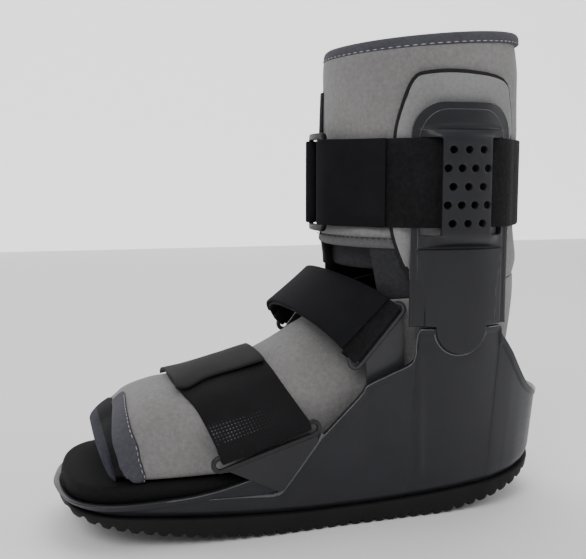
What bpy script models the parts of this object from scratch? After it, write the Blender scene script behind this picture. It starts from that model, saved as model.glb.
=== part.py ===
# Short immobilizer boot: ribbed rocker sole, plastic shell, padded liner, side struts and three straps.
# Toe towards -X, heel towards +X, metres, ground at z = 0. The near side is -Y.

import bmesh
import bpy
import numpy as np
from math import asin, cos, hypot, pi, radians, sin
from mathutils import Vector

# Driving dimensions, metres and degrees
TOE_X = -0.153                  # toe end of the shell rim
HEEL_X = 0.153                  # heel end of the shell rim
HALF_WIDTH = 0.056              # half width of the shell rim at the forefoot
GAP = 0.0003                    # clearance between touching pieces
CALF_X = 0.0715                 # x of the vertical calf axis
LINER_RADIUS = 0.0594           # outside radius of the calf liner
LINER_WALL = 0.006
LINER_FRONT_TOP = 0.277         # height of the calf rim at the front
LINER_BACK_TOP = 0.2866         # height of the calf rim at the back
BINDING_HEIGHT = 0.006          # dark band round the calf rim
HEM_LOW = 0.162                 # lower edge of the front flap's hem
HEM_HEIGHT = 0.0045
HEM_START = -118.0              # the flap's two ends round the calf axis
HEM_END = -52.0
HEM_EASE = 7.0                  # degrees over which the liner's lower edge drops beside the flap
TONGUE_WALL = 0.004
TONGUE_RISE = 0.006             # tongue's lower edge over the collar, and the radius of its corners
COLLAR_FRONT = 0.128            # ankle collar of the foot liner, front and back
COLLAR_BACK = 0.143
COLLAR_UPRIGHT = 0.010          # upright stretch of the liner under the collar
PAD_THICKNESS = 0.0022          # foam sheet behind each strut
STRUT_THICKNESS = 0.0036
STRUT_TOP = 0.2427
STRUT_HALF_ANGLE = 27.0         # degrees round the calf axis
STRUT_CORNER = 0.018            # radius of the strut's upper corners
TAB_RADIUS = 0.0152             # round lower end of the strut, let into the shell
SLOT_INNER_ANGLE = 12.4         # strap slots, degrees from the strut's centre line
SLOT_OUTER_ANGLE = 22.6
SLOT_LOW = 0.169
SLOT_HIGH = 0.223
PANEL_BULGE = 0.0042            # the perforated panel stands out so that the strap passes behind it
BULGE_EASE = 0.007              # height over which the bulge fades
HOLE_DIAMETER = 0.0042
HOLE_ROW_PITCH = 0.01015
HOLE_ANGLE_PITCH = 6.6
SHORT_ROW_SPREAD = 1.13         # rows of three holes stand this much wider than rows of four
SHELL_WALL = 0.0032
WING_TOP = 0.1165               # height of the shell's side wings
WING_FRONT_ANGLE = -23.3        # wing's front and rear edges round the calf axis
WING_REAR_ANGLE = 25.5
SOLE_RISE_TOE = 0.0195          # height of the sole's underside at toe and heel
SOLE_RISE_HEEL = 0.0255
FLAT_FRONT = -0.004             # stretch of the sole that stands on the ground
FLAT_REAR = 0.066
RIB_PITCH = 0.0075
RIB_DEPTH = 0.0022
RIB_FACE = 0.5                  # share of the pitch that a rib's flat face takes; one is centred on x = 0
INSOLE_TOP = 0.036
STRAP_THICKNESS = 0.0018
CALF_STRAP_LOW = 0.174
CALF_STRAP_WIDTH = 0.048
CALF_RING_NEAR = -78.0          # ring's near and far ends round the calf axis
CALF_RING_FAR = -106.0
CALF_RING_BAR = 0.004
CALF_RING_THICKNESS = 0.003
CALF_RING_MARGIN = 0.0012       # play of the strap between the ring's ends
TOE_STRAP_WIDTH = 0.051
ANKLE_STRAP_WIDTH = 0.039
RING_THICKNESS = 0.0026         # plastic strap rings of the toe and ankle straps
RING_WIRE = 0.0028
RING_SLOT = 0.0045              # clear height of a ring's slot
FOOT_MAX_HALF_WIDTH = 0.049
# Strap rings, x and z: centres of the two loop ends, and the corners of the plate below
TOE_LOOPS = ((-0.067, 0.0466), (-0.0145, 0.0629))
TOE_CORNERS = ((-0.0597, 0.0411), (-0.0322, 0.0275), (-0.0111, 0.0552))
ANKLE_LOOPS = ((0.0128, 0.0977), (0.0370, 0.1266))
ANKLE_CORNERS = ((0.0190, 0.0963), (0.0205, 0.067), (0.0400, 0.070), (0.0425, 0.0943), (0.0405, 0.1190))
FAR_ANKLE_SHIFT = (-0.016, 0.004)
ANKLE_RISE = (0.034, 0.022)     # height of the ankle strap's arch at its two edges
ANKLE_LEAN = (48.0, 56.0)       # direction of the arch from vertical, degrees
# First and last place along the foot liner, counted in rows of FOOT_ROWS
TOE_STRAP_TOP = (4.5, 6.8)      # the toe strap on the instep
TOE_STRAP_SIDE = (4.72, 6.92)   # the toe strap at the foot's sides
TOE_END_SPAN = (4.45, 6.8)      # the strap's free end

# Shell stations from the toe to the wing's front edge. rim_s and base_s: share of the way along x,
# rim_y and base_y: share of the half width, rim_z: share of the wing height.
FORE_ROWS = [
    # rim_s, rim_y, rim_z, base_s, base_y
    (0.000, 0.00, 0.232, 0.012, 0.00),
    (0.007, 0.25, 0.232, 0.020, 0.23),
    (0.020, 0.48, 0.232, 0.034, 0.46),
    (0.045, 0.68, 0.234, 0.060, 0.635),
    (0.090, 0.85, 0.236, 0.106, 0.80),
    (0.156, 0.94, 0.236, 0.166, 0.885),
    (0.241, 0.975, 0.240, 0.246, 0.92),
    (0.357, 1.00, 0.254, 0.357, 0.946),
    (0.437, 1.00, 0.275, 0.437, 0.946),
    (0.518, 1.00, 0.309, 0.518, 0.94),
    (0.618, 1.00, 0.382, 0.618, 0.92),
    (0.714, 1.00, 0.472, 0.714, 0.893),
    (0.779, 1.01, 0.575, 0.779, 0.875),
    (0.844, 1.02, 0.695, 0.844, 0.866),
    (0.862, 1.025, 0.730, 0.862, 0.863),
    (0.930, 1.045, 0.785, 0.930, 0.855),
    (0.985, 1.062, 0.824, 0.985, 0.848),
]
# Wing stations. a: share of the angle from the front to the rear edge, z: share of the wing height.
WING_ROWS = [(0.0, 0.867), (0.012, 0.96), (0.04, 1.0), (0.96, 1.0), (0.985, 0.985), (1.0, 0.955)]
WING_BASE_Y = (0.845, 0.825)    # share of the half width under the wing's front and rear edges
# Shell stations from the wing's rear edge to the heel, columns as in FORE_ROWS
HEEL_ROWS = [
    (0.075, 1.027, 0.918, 0.057, 0.82),
    (0.190, 0.972, 0.850, 0.150, 0.80),
    (0.300, 0.905, 0.781, 0.245, 0.777),
    (0.490, 0.775, 0.661, 0.415, 0.714),
    (0.700, 0.607, 0.597, 0.620, 0.571),
    (0.887, 0.340, 0.571, 0.810, 0.330),
    (1.000, 0.000, 0.567, 0.925, 0.000),
]
# Foot liner sections from the toe mouth to the ankle collar. top_x and low_x: share of the way
# from toe to calf axis, top_z and low_z: share of the height between insole and collar back,
# half_w: share of the largest half width, box: 1 is round.
FOOT_ROWS = [
    # top_x, top_z, low_x, low_z, half_w, box
    (0.100, 0.222, 0.132, 0.000, 0.77, 0.78),
    (0.124, 0.268, 0.142, 0.000, 0.83, 0.73),
    (0.156, 0.315, 0.162, 0.000, 0.90, 0.67),
    (0.196, 0.376, 0.205, 0.000, 0.95, 0.62),
    (0.258, 0.415, 0.262, 0.000, 0.99, 0.60),
    (0.350, 0.455, 0.370, 0.000, 1.00, 0.60),
    (0.462, 0.512, 0.495, 0.000, 0.98, 0.60),
    (0.550, 0.566, 0.628, 0.000, 0.95, 0.62),
    (0.615, 0.640, 0.780, 0.000, 0.925, 0.65),
    (0.650, 0.695, 0.950, 0.000, 0.92, 0.70),
    (0.674, 0.730, 1.115, 0.012, 0.925, 0.80),
    (0.695, 0.765, 1.215, 0.140, 0.955, 0.90),
    (0.712, 0.795, 1.252, 0.440, 0.98, 0.98),
]
FOOT_SIDES = 24                 # points round a section
TOE_BAND_END = 0.155            # share of the way from toe to calf axis where the dark toe binding ends
# Strut pad outline. a: degrees from the strut's centre line, z: share of the pad's height.
PAD_ROWS = [(-20, 0.0), (20, 0.0), (28, 0.2), (34, 0.40), (35, 0.75), (32, 0.90), (26, 0.975), (0, 1.0),
            (-18, 0.995), (-26, 0.97), (-32, 0.855), (-35, 0.755), (-37, 0.58), (-37, 0.40), (-29, 0.22), (-21.5, 0.12)]
PAD_LOW = 0.119
PAD_HIGH = 0.2585

# Places that follow from the driving dimensions
PAD_IN = LINER_RADIUS + GAP
PAD_OUT = PAD_IN + PAD_THICKNESS
STRUT_IN = PAD_OUT + GAP
STRUT_OUT = STRUT_IN + STRUT_THICKNESS
SLOT_CENTRE = (SLOT_LOW + SLOT_HIGH) / 2
STRAP_HALF = STRAP_THICKNESS / 2
WING_FRONT_X = CALF_X + STRUT_OUT * sin(radians(WING_FRONT_ANGLE))
WING_REAR_X = CALF_X + STRUT_OUT * sin(radians(WING_REAR_ANGLE))


def material(name, colour, roughness, metallic=0.0):
    mat = bpy.data.materials.new(name)
    mat.use_nodes = True
    shader = mat.node_tree.nodes["Principled BSDF"]
    shader.inputs["Base Color"].default_value = (*colour, 1.0)
    shader.inputs["Roughness"].default_value = roughness
    shader.inputs["Metallic"].default_value = metallic
    return mat


def add_object(name, bm, mat, collection):
    bmesh.ops.recalc_face_normals(bm, faces=bm.faces)
    mesh = bpy.data.meshes.new(name)
    bm.to_mesh(mesh)
    bm.free()
    if mat:
        mesh.materials.append(mat)
    obj = bpy.data.objects.new(name, mesh)
    collection.objects.link(obj)
    return obj


def mirrored(source, name, collection):
    """A copy of a closed piece on the other side of the boot."""
    bm = bmesh.new()
    depsgraph = bpy.context.evaluated_depsgraph_get()
    bm.from_object(source, depsgraph)
    bmesh.ops.scale(bm, vec=(1, -1, 1), verts=bm.verts)
    return add_object(name, bm, source.data.materials[0], collection)


def solidify(obj, thickness, offset=-1.0):
    """Wall on an open surface: offset -1 puts it inside, 0 on both sides."""
    wall = obj.modifiers.new("Wall", "SOLIDIFY")
    wall.thickness = thickness
    wall.offset = offset
    wall.use_even_offset = True
    return obj


def cut(obj, cutter):
    boolean = obj.modifiers.new(cutter.name, "BOOLEAN")
    boolean.solver = "EXACT"
    boolean.object = cutter
    cutter.hide_render = True
    cutter.display_type = "WIRE"


def sheet(rows, closed=False):
    """Open surface through rows of points; closed joins each row's end to its start."""
    bm = bmesh.new()
    grid = [[bm.verts.new(point) for point in row] for row in rows]
    for low, high in zip(grid, grid[1:]):
        count = len(low) if closed else len(low) - 1
        for i in range(count):
            j = (i + 1) % len(low)
            bm.faces.new((low[i], low[j], high[j], high[i]))
    return bm


def outward(bm, axis_point):
    """Turn an open tube's faces away from a point inside it."""
    bmesh.ops.recalc_face_normals(bm, faces=bm.faces)
    face = max(bm.faces, key=lambda f: (f.calc_center_median() - axis_point).length)
    if face.normal.dot(face.calc_center_median() - axis_point) < 0:
        bmesh.ops.reverse_faces(bm, faces=bm.faces)


def add_sheet(name, rows, thickness, offset, mat, collection, closed=False, inside=None):
    """Walled piece on an open surface whose faces look away from the point inside."""
    bm = sheet(rows, closed)
    if inside is not None:
        outward(bm, Vector(inside))
    mesh = bpy.data.meshes.new(name)
    bm.to_mesh(mesh)
    bm.free()
    mesh.materials.append(mat)
    obj = bpy.data.objects.new(name, mesh)
    collection.objects.link(obj)
    return solidify(obj, thickness, offset)


def smooth_rows(rows, steps):
    """Catmull-Rom curve through rows of numbers, steps samples for each interval."""
    points = np.array(rows, float)
    padded = np.vstack([2 * points[0] - points[1], points, 2 * points[-1] - points[-2]])
    out = []
    for i in range(1, len(padded) - 2):
        p0, p1, p2, p3 = padded[i - 1:i + 3]
        for t in np.arange(steps) / steps:
            bend = 2 * p1 + (p2 - p0) * t + (2 * p0 - 5 * p1 + 4 * p2 - p3) * t ** 2
            out.append((bend + (3 * p1 - p0 - 3 * p2 + p3) * t ** 3) / 2)
    out.append(padded[-2])
    return np.array(out)


def around_calf(angle, radius, z):
    """Point at an angle in degrees round the calf axis: 0 is near side, 90 is heel, 180 is far side."""
    return Vector((CALF_X + radius * sin(radians(angle)), -radius * cos(radians(angle)), z))


# Sole

def sole_bottom(x):
    """Rocker underside: flat under the heel half, curving up to toe and heel."""
    if x < FLAT_FRONT:
        share = (FLAT_FRONT - x) / (FLAT_FRONT - TOE_X)
        return SOLE_RISE_TOE * share ** 2.2
    if x > FLAT_REAR:
        share = (x - FLAT_REAR) / (HEEL_X - FLAT_REAR)
        return SOLE_RISE_HEEL * share ** 1.55
    return 0.0


def sole_top(x):
    """Line between outsole and shell, a little thicker at the toe and under the heel's rise."""
    front = max(0.0, (FLAT_FRONT - x) / (FLAT_FRONT - TOE_X))
    rear = max(0.0, (x - FLAT_FRONT) / (HEEL_X - FLAT_FRONT))
    return 0.0115 + 0.0105 * front ** 1.3 + 0.0165 * rear ** 2.6


def shell_stations():
    """Near half of the shell's rim and base outlines from toe tip to heel: rows of rim and base points."""
    rows = []
    for rim_s, rim_y, rim_z, base_s, base_y in FORE_ROWS:
        span = WING_FRONT_X - TOE_X
        rows.append((TOE_X + rim_s * span, rim_y * HALF_WIDTH, rim_z * WING_TOP,
                     TOE_X + base_s * span, base_y * HALF_WIDTH))
    last = len(WING_ROWS) - 1
    wing = WING_ROWS[:3] + [(i / 10, 1.0) for i in range(1, 10)] + WING_ROWS[3:last + 1]
    for share, z in wing:
        angle = radians(WING_FRONT_ANGLE + share * (WING_REAR_ANGLE - WING_FRONT_ANGLE))
        x = CALF_X + STRUT_OUT * sin(angle)
        base_y = WING_BASE_Y[0] + share * (WING_BASE_Y[1] - WING_BASE_Y[0])
        rows.append((x, STRUT_OUT * cos(angle), z * WING_TOP, x, base_y * HALF_WIDTH))
    for rim_s, rim_y, rim_z, base_s, base_y in HEEL_ROWS:
        span = HEEL_X - WING_REAR_X
        rows.append((WING_REAR_X + rim_s * span, rim_y * HALF_WIDTH, rim_z * WING_TOP,
                     WING_REAR_X + base_s * span, base_y * HALF_WIDTH))
    fine = smooth_rows(rows, 2)
    coarse = np.array(rows)
    steps = np.arange(len(fine)) / 2
    for column in (1, 2, 4):
        fine[:, column] = np.maximum(0.0, np.interp(steps, np.arange(len(coarse)), coarse[:, column]))
    return fine


def shell_point(station, share):
    """Point on the shell's outside, share 0 at the base and 1 at the rim."""
    rim_x, rim_y, rim_z, base_x, base_y = station
    base_z = sole_top(base_x) + GAP
    return Vector((base_x + share * (rim_x - base_x), -(base_y + share * (rim_y - base_y)),
                   base_z + share * (rim_z - base_z)))


def flip(point):
    return Vector((point.x, -point.y, point.z))


def shell_wall_y(x, z):
    """Half width of the shell's outside at x and z, along the sides."""
    best = None
    for station in shell_stations():
        base_z = sole_top(station[3]) + GAP
        share = min(1.0, max(0.0, (z - base_z) / (station[2] - base_z)))
        point = shell_point(station, share)
        if best is None or abs(point.x - x) < abs(best.x - x):
            best = point
    return -best.y


def build_shell(mat, parts, cutters):
    stations = shell_stations()
    levels = [0.0, 0.5, 1.0]
    rows = [[shell_point(station, share) for share in levels] for station in stations]
    bm = bmesh.new()
    near = [[bm.verts.new(point) for point in row] for row in rows]
    far = [near[0]] + [[bm.verts.new(flip(point)) for point in row] for row in rows[1:-1]] + [near[-1]]
    for side in (near, far):
        for low, high in zip(side, side[1:]):
            for i in range(len(levels) - 1):
                bm.faces.new((low[i], high[i], high[i + 1], low[i + 1]))
    for i in range(len(stations) - 1):
        ring = [near[i][0], far[i][0], far[i + 1][0], near[i + 1][0]]
        corners = list(dict.fromkeys(ring))
        bm.faces.new(corners)
    outward(bm, Vector((0.0, 0.0, INSOLE_TOP)))
    mesh = bpy.data.meshes.new("shell")
    bm.to_mesh(mesh)
    bm.free()
    mesh.materials.append(mat)
    shell = bpy.data.objects.new("shell", mesh)
    parts.objects.link(shell)
    solidify(shell, SHELL_WALL)
    bpy.ops.mesh.primitive_cylinder_add(vertices=48, radius=TAB_RADIUS + GAP, depth=4 * HALF_WIDTH,
                                        location=(CALF_X, 0, WING_TOP), rotation=(pi / 2, 0, 0))
    notch = bpy.context.object
    notch.name = "strut_notch"
    move_to(notch, cutters)
    cut(shell, notch)


def move_to(obj, collection):
    for owner in list(obj.users_collection):
        owner.objects.unlink(obj)
    collection.objects.link(obj)


def inset_outline(points, distance):
    """Half outline in plan moved inwards, from the toe tip to the heel on the near side."""
    out = []
    for i, point in enumerate(points):
        before = points[max(0, i - 1)]
        after = points[min(len(points) - 1, i + 1)]
        if i in (0, len(points) - 1):
            normal = Vector((1.0 if i == 0 else -1.0, 0.0))
        else:
            along = Vector((after.x - before.x, after.y - before.y)).normalized()
            normal = Vector((-along.y, along.x))
        out.append(Vector((point.x + normal.x * distance, point.y + normal.y * distance, point.z)))
    return out


def outline_solid(name, low, high, mat, collection):
    """Closed solid between two half outlines on the near side and their mirror images."""
    bm = bmesh.new()
    rings = []
    for outline in (low, high):
        near = [bm.verts.new(point) for point in outline]
        far = [near[0]] + [bm.verts.new(flip(point)) for point in outline[1:-1]] + [near[-1]]
        rings.append((near, far))
    for near, far in rings:
        for i in range(len(near) - 1):
            bm.faces.new(list(dict.fromkeys((near[i], far[i], far[i + 1], near[i + 1]))))
    for side in (0, 1):
        for i in range(len(low) - 1):
            a, b = rings[0][side][i:i + 2]
            c, d = rings[1][side][i:i + 2]
            bm.faces.new((a, b, d, c))
    return add_object(name, bm, mat, collection)


def build_insole(mat, parts):
    clearance = SHELL_WALL + 2 * GAP
    low = []
    high = []
    for station in shell_stations()[::2]:
        base_z = sole_top(station[3]) + GAP
        floor = base_z + clearance
        low_share = (floor - base_z) / (station[2] - base_z)
        high_share = min(1.0, (INSOLE_TOP - base_z) / (station[2] - base_z))
        point = shell_point(station, low_share)
        low.append(Vector((point.x, point.y, floor)))
        point = shell_point(station, high_share)
        high.append(Vector((point.x, point.y, INSOLE_TOP)))
    outline_solid("insole_pad", inset_outline(low, clearance + 0.001), inset_outline(high, clearance),
                  mat, parts)


def build_outsole(mat, parts):
    """Ribbed sole: trapezoid ribs across the boot that follow the rocker line."""
    base = np.array([(station[3], station[4]) for station in shell_stations()])
    start = base[0, 0]
    end = base[-1, 0]
    count = int((end - start) / RIB_PITCH)
    first = -RIB_PITCH * (RIB_FACE / 2 + int(-start / RIB_PITCH))
    bm = bmesh.new()
    rings = []
    profile = ((0.0, 0.0), (RIB_FACE, 0.0), (0.75, 1.0))
    for rib in range(count + 1):
        for share, depth in profile:
            x = first + (rib + share) * RIB_PITCH
            if start + 0.0006 < x < end - 0.0006:
                half = np.interp(x, base[:, 0], base[:, 1])
                low = sole_bottom(x) + depth * RIB_DEPTH
                high = sole_top(x)
                rings.append([bm.verts.new(corner) for corner in
                              ((x, -half, low), (x, half, low), (x, half, high), (x, -half, high))])
    for before, after in zip(rings, rings[1:]):
        for i in range(4):
            j = (i + 1) % 4
            bm.faces.new((before[i], before[j], after[j], after[i]))
    bm.faces.new(rings[0])
    bm.faces.new(rings[-1])
    add_object("outsole", bm, mat, parts)


# Liner

def foot_sections():
    rows = []
    for top_x, top_z, low_x, low_z, half_w, box in FOOT_ROWS:
        span = CALF_X - TOE_X
        height = COLLAR_BACK - INSOLE_TOP - GAP
        floor = INSOLE_TOP + GAP
        rows.append((TOE_X + top_x * span, floor + top_z * height, TOE_X + low_x * span,
                     floor + low_z * height, half_w * FOOT_MAX_HALF_WIDTH, box))
    for drop in (COLLAR_UPRIGHT, 0.0):
        rows.append((CALF_X - LINER_RADIUS, COLLAR_FRONT - drop / 2, CALF_X + LINER_RADIUS,
                     COLLAR_BACK - drop, LINER_RADIUS, 1.0))
    return rows


def foot_section_at(u):
    """Section at a position u counted in rows of the table, between rows by straight blending."""
    rows = foot_sections()
    i = min(int(u), len(rows) - 2)
    return np.array(rows[i]) + (u - i) * (np.array(rows[i + 1]) - np.array(rows[i]))


def foot_point(section, turn, out=0.0):
    """Point on a liner section. turn in degrees: 0 top, 90 near side, 180 underside."""
    top_x, top_z, low_x, low_z, half, box = section
    middle = Vector(((top_x + low_x) / 2, 0, (top_z + low_z) / 2))
    up = Vector((top_x - low_x, 0, top_z - low_z)) / 2
    rise = up.length + out
    up.normalize()
    c = cos(radians(turn))
    s = sin(radians(turn))
    power = box if c < 0 else (1 + box) / 2
    along = abs(c) ** power * (1 if c > 0 else -1)
    side = abs(s) ** power * (1 if s > 0 else -1)
    return middle + up * rise * along - Vector((0, 1, 0)) * (half + out) * side


def foot_ring(section, inwards=0.0):
    """Ring of points round a liner section, moved inwards by a wall. Its underside lies flat."""
    floor = INSOLE_TOP + GAP + inwards
    ring = [foot_point(section, 360 * i / FOOT_SIDES, -inwards) for i in range(FOOT_SIDES)]
    for point in ring:
        point.z = max(point.z, floor)
    return ring


def smooth_sections(first, last, steps):
    sections = smooth_rows(foot_sections(), steps)[first * steps:last * steps + 1]
    sections[:, 2] = np.minimum(sections[:, 2], CALF_X + LINER_RADIUS)
    sections[:, 4] = np.minimum(sections[:, 4], LINER_RADIUS)
    return sections


def build_liner(mats, parts):
    """Padded bootie: its outer and inner surfaces share section planes, so both ends are flat rims."""
    count = len(foot_sections()) - 1
    seam = sum(row[0] < TOE_BAND_END for row in FOOT_ROWS)
    bands = (("toe_binding", 0, seam, "binding"), ("liner_foot", seam, count, "liner"))
    for name, first, last, kind in bands:
        sections = smooth_sections(first, last, 2)
        outer = [foot_ring(section) for section in sections]
        inner = [foot_ring(section, LINER_WALL) for section in sections]
        if name == "toe_binding":
            shift = Vector((-2 * GAP, 0, 0))
            outer[-1] = [point + shift for point in outer[-1]]
            inner[-1] = [point + shift for point in inner[-1]]
        bm = sheet(outer + inner[::-1] + outer[:1], closed=True)
        bmesh.ops.remove_doubles(bm, verts=bm.verts, dist=1e-6)
        add_object(name, bm, mats[kind], parts)


def rim_height(angle):
    middle = (LINER_BACK_TOP + LINER_FRONT_TOP) / 2
    return middle + (LINER_BACK_TOP - LINER_FRONT_TOP) / 2 * sin(radians(angle))


def collar_height(angle):
    middle = (COLLAR_BACK + COLLAR_FRONT) / 2
    return middle + (COLLAR_BACK - COLLAR_FRONT) / 2 * sin(radians(angle)) + 3 * GAP


def flap_share(angle):
    """1 over the front flap, 0 over the sides and back, with short ramps between."""
    turn = (angle + 270) % 360 - 270
    into = min(turn - HEM_START, HEM_END - turn)
    return min(1.0, max(0.0, into / HEM_EASE + 1))


def build_calf(mats, parts):
    hem_angles = np.linspace(HEM_START, HEM_END, 12)
    rest = np.linspace(HEM_END + HEM_EASE, HEM_START - HEM_EASE + 360, 36)
    angles = list(hem_angles) + list(rest)
    inside = (CALF_X, 0, SLOT_CENTRE)
    body = []
    for share in (0.0, 0.5, 1.0):
        ring = []
        for angle in angles:
            low = collar_height(angle)
            low += flap_share(angle) * (HEM_LOW + HEM_HEIGHT - low)
            high = rim_height(angle) - BINDING_HEIGHT - GAP
            ring.append(around_calf(angle, LINER_RADIUS, low + share * (high - low)))
        body.append(ring)
    add_sheet("liner_calf", body, LINER_WALL, -1.0, mats["liner"], parts, closed=True, inside=inside)
    band = [[around_calf(angle, LINER_RADIUS, rim_height(angle) - drop) for angle in angles]
            for drop in (BINDING_HEIGHT, 0.0)]
    add_sheet("calf_binding", band, LINER_WALL, -1.0, mats["binding"], parts, closed=True, inside=inside)
    hem_angles[0] += 1.0
    hem_angles[-1] -= 1.0
    hem = [[around_calf(angle, LINER_RADIUS, z) for angle in hem_angles]
           for z in (HEM_LOW, HEM_LOW + HEM_HEIGHT - GAP)]
    add_sheet("calf_hem", hem, LINER_WALL, -1.0, mats["binding"], parts, inside=inside)
    tongue_radius = LINER_RADIUS - LINER_WALL - GAP
    tongue_low = COLLAR_BACK + TONGUE_RISE
    tongue_angles = np.linspace(HEM_START + 6, HEM_END, 12)
    tongue = []
    for share in (0.0, 0.35, 1.0):
        row = []
        for i, angle in enumerate(tongue_angles):
            corner = TONGUE_RISE * max(0.0, 1 - i / 1.5, 1 - (11 - i) / 1.5)
            low = tongue_low + corner
            row.append(around_calf(angle, tongue_radius, low + share * (SLOT_HIGH - low)))
        tongue.append(row)
    add_sheet("tongue", tongue, TONGUE_WALL, -1.0, mats["tongue"], parts, inside=inside)


# Struts

def bent_plate(name, outline, thickness, radius_in, cutter_list, bulge, mat, collection, rules):
    """Flat plate in x (arc length) and z, cut while flat, sliced along rules and bent round the calf."""
    middle = radius_in + thickness / 2
    bm = bmesh.new()
    face = bm.faces.new([bm.verts.new((x, -thickness / 2, z)) for x, z in outline])
    extruded = bmesh.ops.extrude_face_region(bm, geom=[face])
    moved = [item for item in extruded["geom"] if isinstance(item, bmesh.types.BMVert)]
    bmesh.ops.translate(bm, vec=(0, thickness, 0), verts=moved)
    obj = add_object(name, bm, mat, collection)
    for cutter in cutter_list:
        cut(obj, cutter)
    bm = bmesh.new()
    bm.from_object(obj, bpy.context.evaluated_depsgraph_get())
    for place, normal in rules:
        whole = bm.verts[:] + bm.edges[:] + bm.faces[:]
        bmesh.ops.bisect_plane(bm, geom=whole, plane_co=place, plane_no=normal, dist=1e-6)
    bmesh.ops.triangulate(bm, faces=bm.faces)
    for vert in bm.verts:
        angle = vert.co.x / middle
        radius = middle - vert.co.y + bulge(vert.co.x, vert.co.z)
        vert.co = Vector((CALF_X + radius * sin(angle), -radius * cos(angle), vert.co.z))
    obj.modifiers.clear()
    bmesh.ops.recalc_face_normals(bm, faces=bm.faces)
    bm.to_mesh(obj.data)
    bm.free()
    return obj


def slicing_rules(half_span, count, heights):
    rules = [((half_span * (2 * i / count - 1), 0, 0), (1, 0, 0)) for i in range(1, count)]
    return rules + [((0, 0, z), (0, 0, 1)) for z in heights]


def strut_outline(half_span):
    low = WING_TOP + 3 * GAP          # the wing's rim leans inwards and up
    corner_z = STRUT_TOP - STRUT_CORNER
    points = [(TAB_RADIUS * sin(radians(a)), WING_TOP - TAB_RADIUS * cos(radians(a)))
              for a in range(-80, 81, 16)]
    points.append((TAB_RADIUS, low))
    points.append((half_span, low))
    for a in range(0, 91, 15):
        points.append((half_span - STRUT_CORNER * (1 - cos(radians(a))),
                       corner_z + STRUT_CORNER * sin(radians(a))))
    for a in range(90, -1, -15):
        points.append((-half_span + STRUT_CORNER * (1 - cos(radians(a))),
                       corner_z + STRUT_CORNER * sin(radians(a))))
    points.append((-half_span, low))
    points.append((-TAB_RADIUS, low))
    return points


def panel_bulge(x, z):
    """Outward step of the perforated panel at arc length x and height z."""
    middle = STRUT_IN + STRUT_THICKNESS / 2
    inner = middle * radians(SLOT_INNER_ANGLE)
    outer = middle * radians(SLOT_OUTER_ANGLE)
    across = min(1.0, max(0.0, (outer - abs(x)) / (outer - inner)))
    over = min(z - SLOT_LOW + BULGE_EASE, SLOT_HIGH + BULGE_EASE - z) / BULGE_EASE
    up = min(1.0, max(0.0, over))
    return PANEL_BULGE * across * across * (3 - 2 * across) * up * up * (3 - 2 * up)


def build_struts(mats, parts, cutters):
    middle = STRUT_IN + STRUT_THICKNESS / 2
    slots = []
    for side in (-1, 1):
        angle = radians((SLOT_INNER_ANGLE + SLOT_OUTER_ANGLE) / 2) * side
        width = radians(SLOT_OUTER_ANGLE - SLOT_INNER_ANGLE) * middle
        bpy.ops.mesh.primitive_cube_add(size=1, location=(angle * middle, 0, SLOT_CENTRE),
                                        scale=(width, 4 * STRUT_THICKNESS, SLOT_HIGH - SLOT_LOW))
        slots.append(bpy.context.object)
    for row in range(5):
        per_row = 3 if row % 2 == 0 else 4
        spread = SHORT_ROW_SPREAD if per_row == 3 else 1.0
        for i in range(per_row):
            angle = radians(HOLE_ANGLE_PITCH * (i - (per_row - 1) / 2) * spread)
            bpy.ops.mesh.primitive_cylinder_add(
                vertices=8, radius=HOLE_DIAMETER / 2, depth=4 * STRUT_THICKNESS, rotation=(pi / 2, 0, 0),
                location=(angle * middle, 0, SLOT_CENTRE + (2 - row) * HOLE_ROW_PITCH))
            slots.append(bpy.context.object)
    for number, cutter in enumerate(slots):
        cutter.name = "strut_cutter_%02d" % number
        move_to(cutter, cutters)
    half_span = middle * radians(STRUT_HALF_ANGLE)
    heights = [SLOT_LOW - BULGE_EASE, SLOT_LOW - BULGE_EASE / 2, SLOT_LOW,
               SLOT_HIGH, SLOT_HIGH + BULGE_EASE / 2, SLOT_HIGH + BULGE_EASE]
    strut = bent_plate("strut_left", strut_outline(half_span), STRUT_THICKNESS, STRUT_IN, slots,
                       panel_bulge, mats["strut"], parts, slicing_rules(half_span, 10, heights))
    mirrored(strut, "strut_right", parts)
    pad_middle = PAD_IN + PAD_THICKNESS / 2
    outline = [(pad_middle * radians(a), PAD_LOW + z * (PAD_HIGH - PAD_LOW)) for a, z in PAD_ROWS]
    pad = bent_plate("strut_pad_left", outline, PAD_THICKNESS, PAD_IN, [], lambda x, z: 0.0,
                     mats["pad"], parts, slicing_rules(pad_middle * radians(37), 10, []))
    mirrored(pad, "strut_pad_right", parts)


# Straps

def add_strip(name, rails, mat, collection):
    """Webbing of the strap thickness through rails of points."""
    return add_sheet(name, rails, STRAP_THICKNESS, 0.0, mat, collection)


def lifted_rails(rail_a, rail_b, distance):
    """The two rails of a second layer that lies on a strap, on the side away from the foot."""
    lifted = ([], [])
    for i in range(len(rail_a)):
        before = max(0, i - 1)
        after = min(len(rail_a) - 1, i + 1)
        across = rail_b[i] - rail_a[i]
        for rail, out in zip((rail_a, rail_b), lifted):
            normal = across.cross(rail[after] - rail[before]).normalized()
            out.append(rail[i] + normal * distance)
    return lifted


def turn_round_bar(bar, out, down, radius, leg, start=0):
    """Points of a strap that comes down outside a bar, turns under it and goes up behind it."""
    points = []
    for a in range(start, 181, 36):
        points.append(bar + out * radius * cos(radians(a)) + down * radius * sin(radians(a)))
    points.append(points[-1] - down * leg)
    return points


def arc_points(path, step=6.0):
    """Points round the calf through rows of angle and radius, with in-between points on long runs."""
    points = [around_calf(path[0][0], path[0][1], 0)]
    for (a0, r0), (a1, r1) in zip(path, path[1:]):
        count = max(1, int(abs(a1 - a0) / step + 0.999))
        for i in range(1, count + 1):
            share = i / count
            points.append(around_calf(a0 + share * (a1 - a0), r0 + share * (r1 - r0), 0))
    return points


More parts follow.
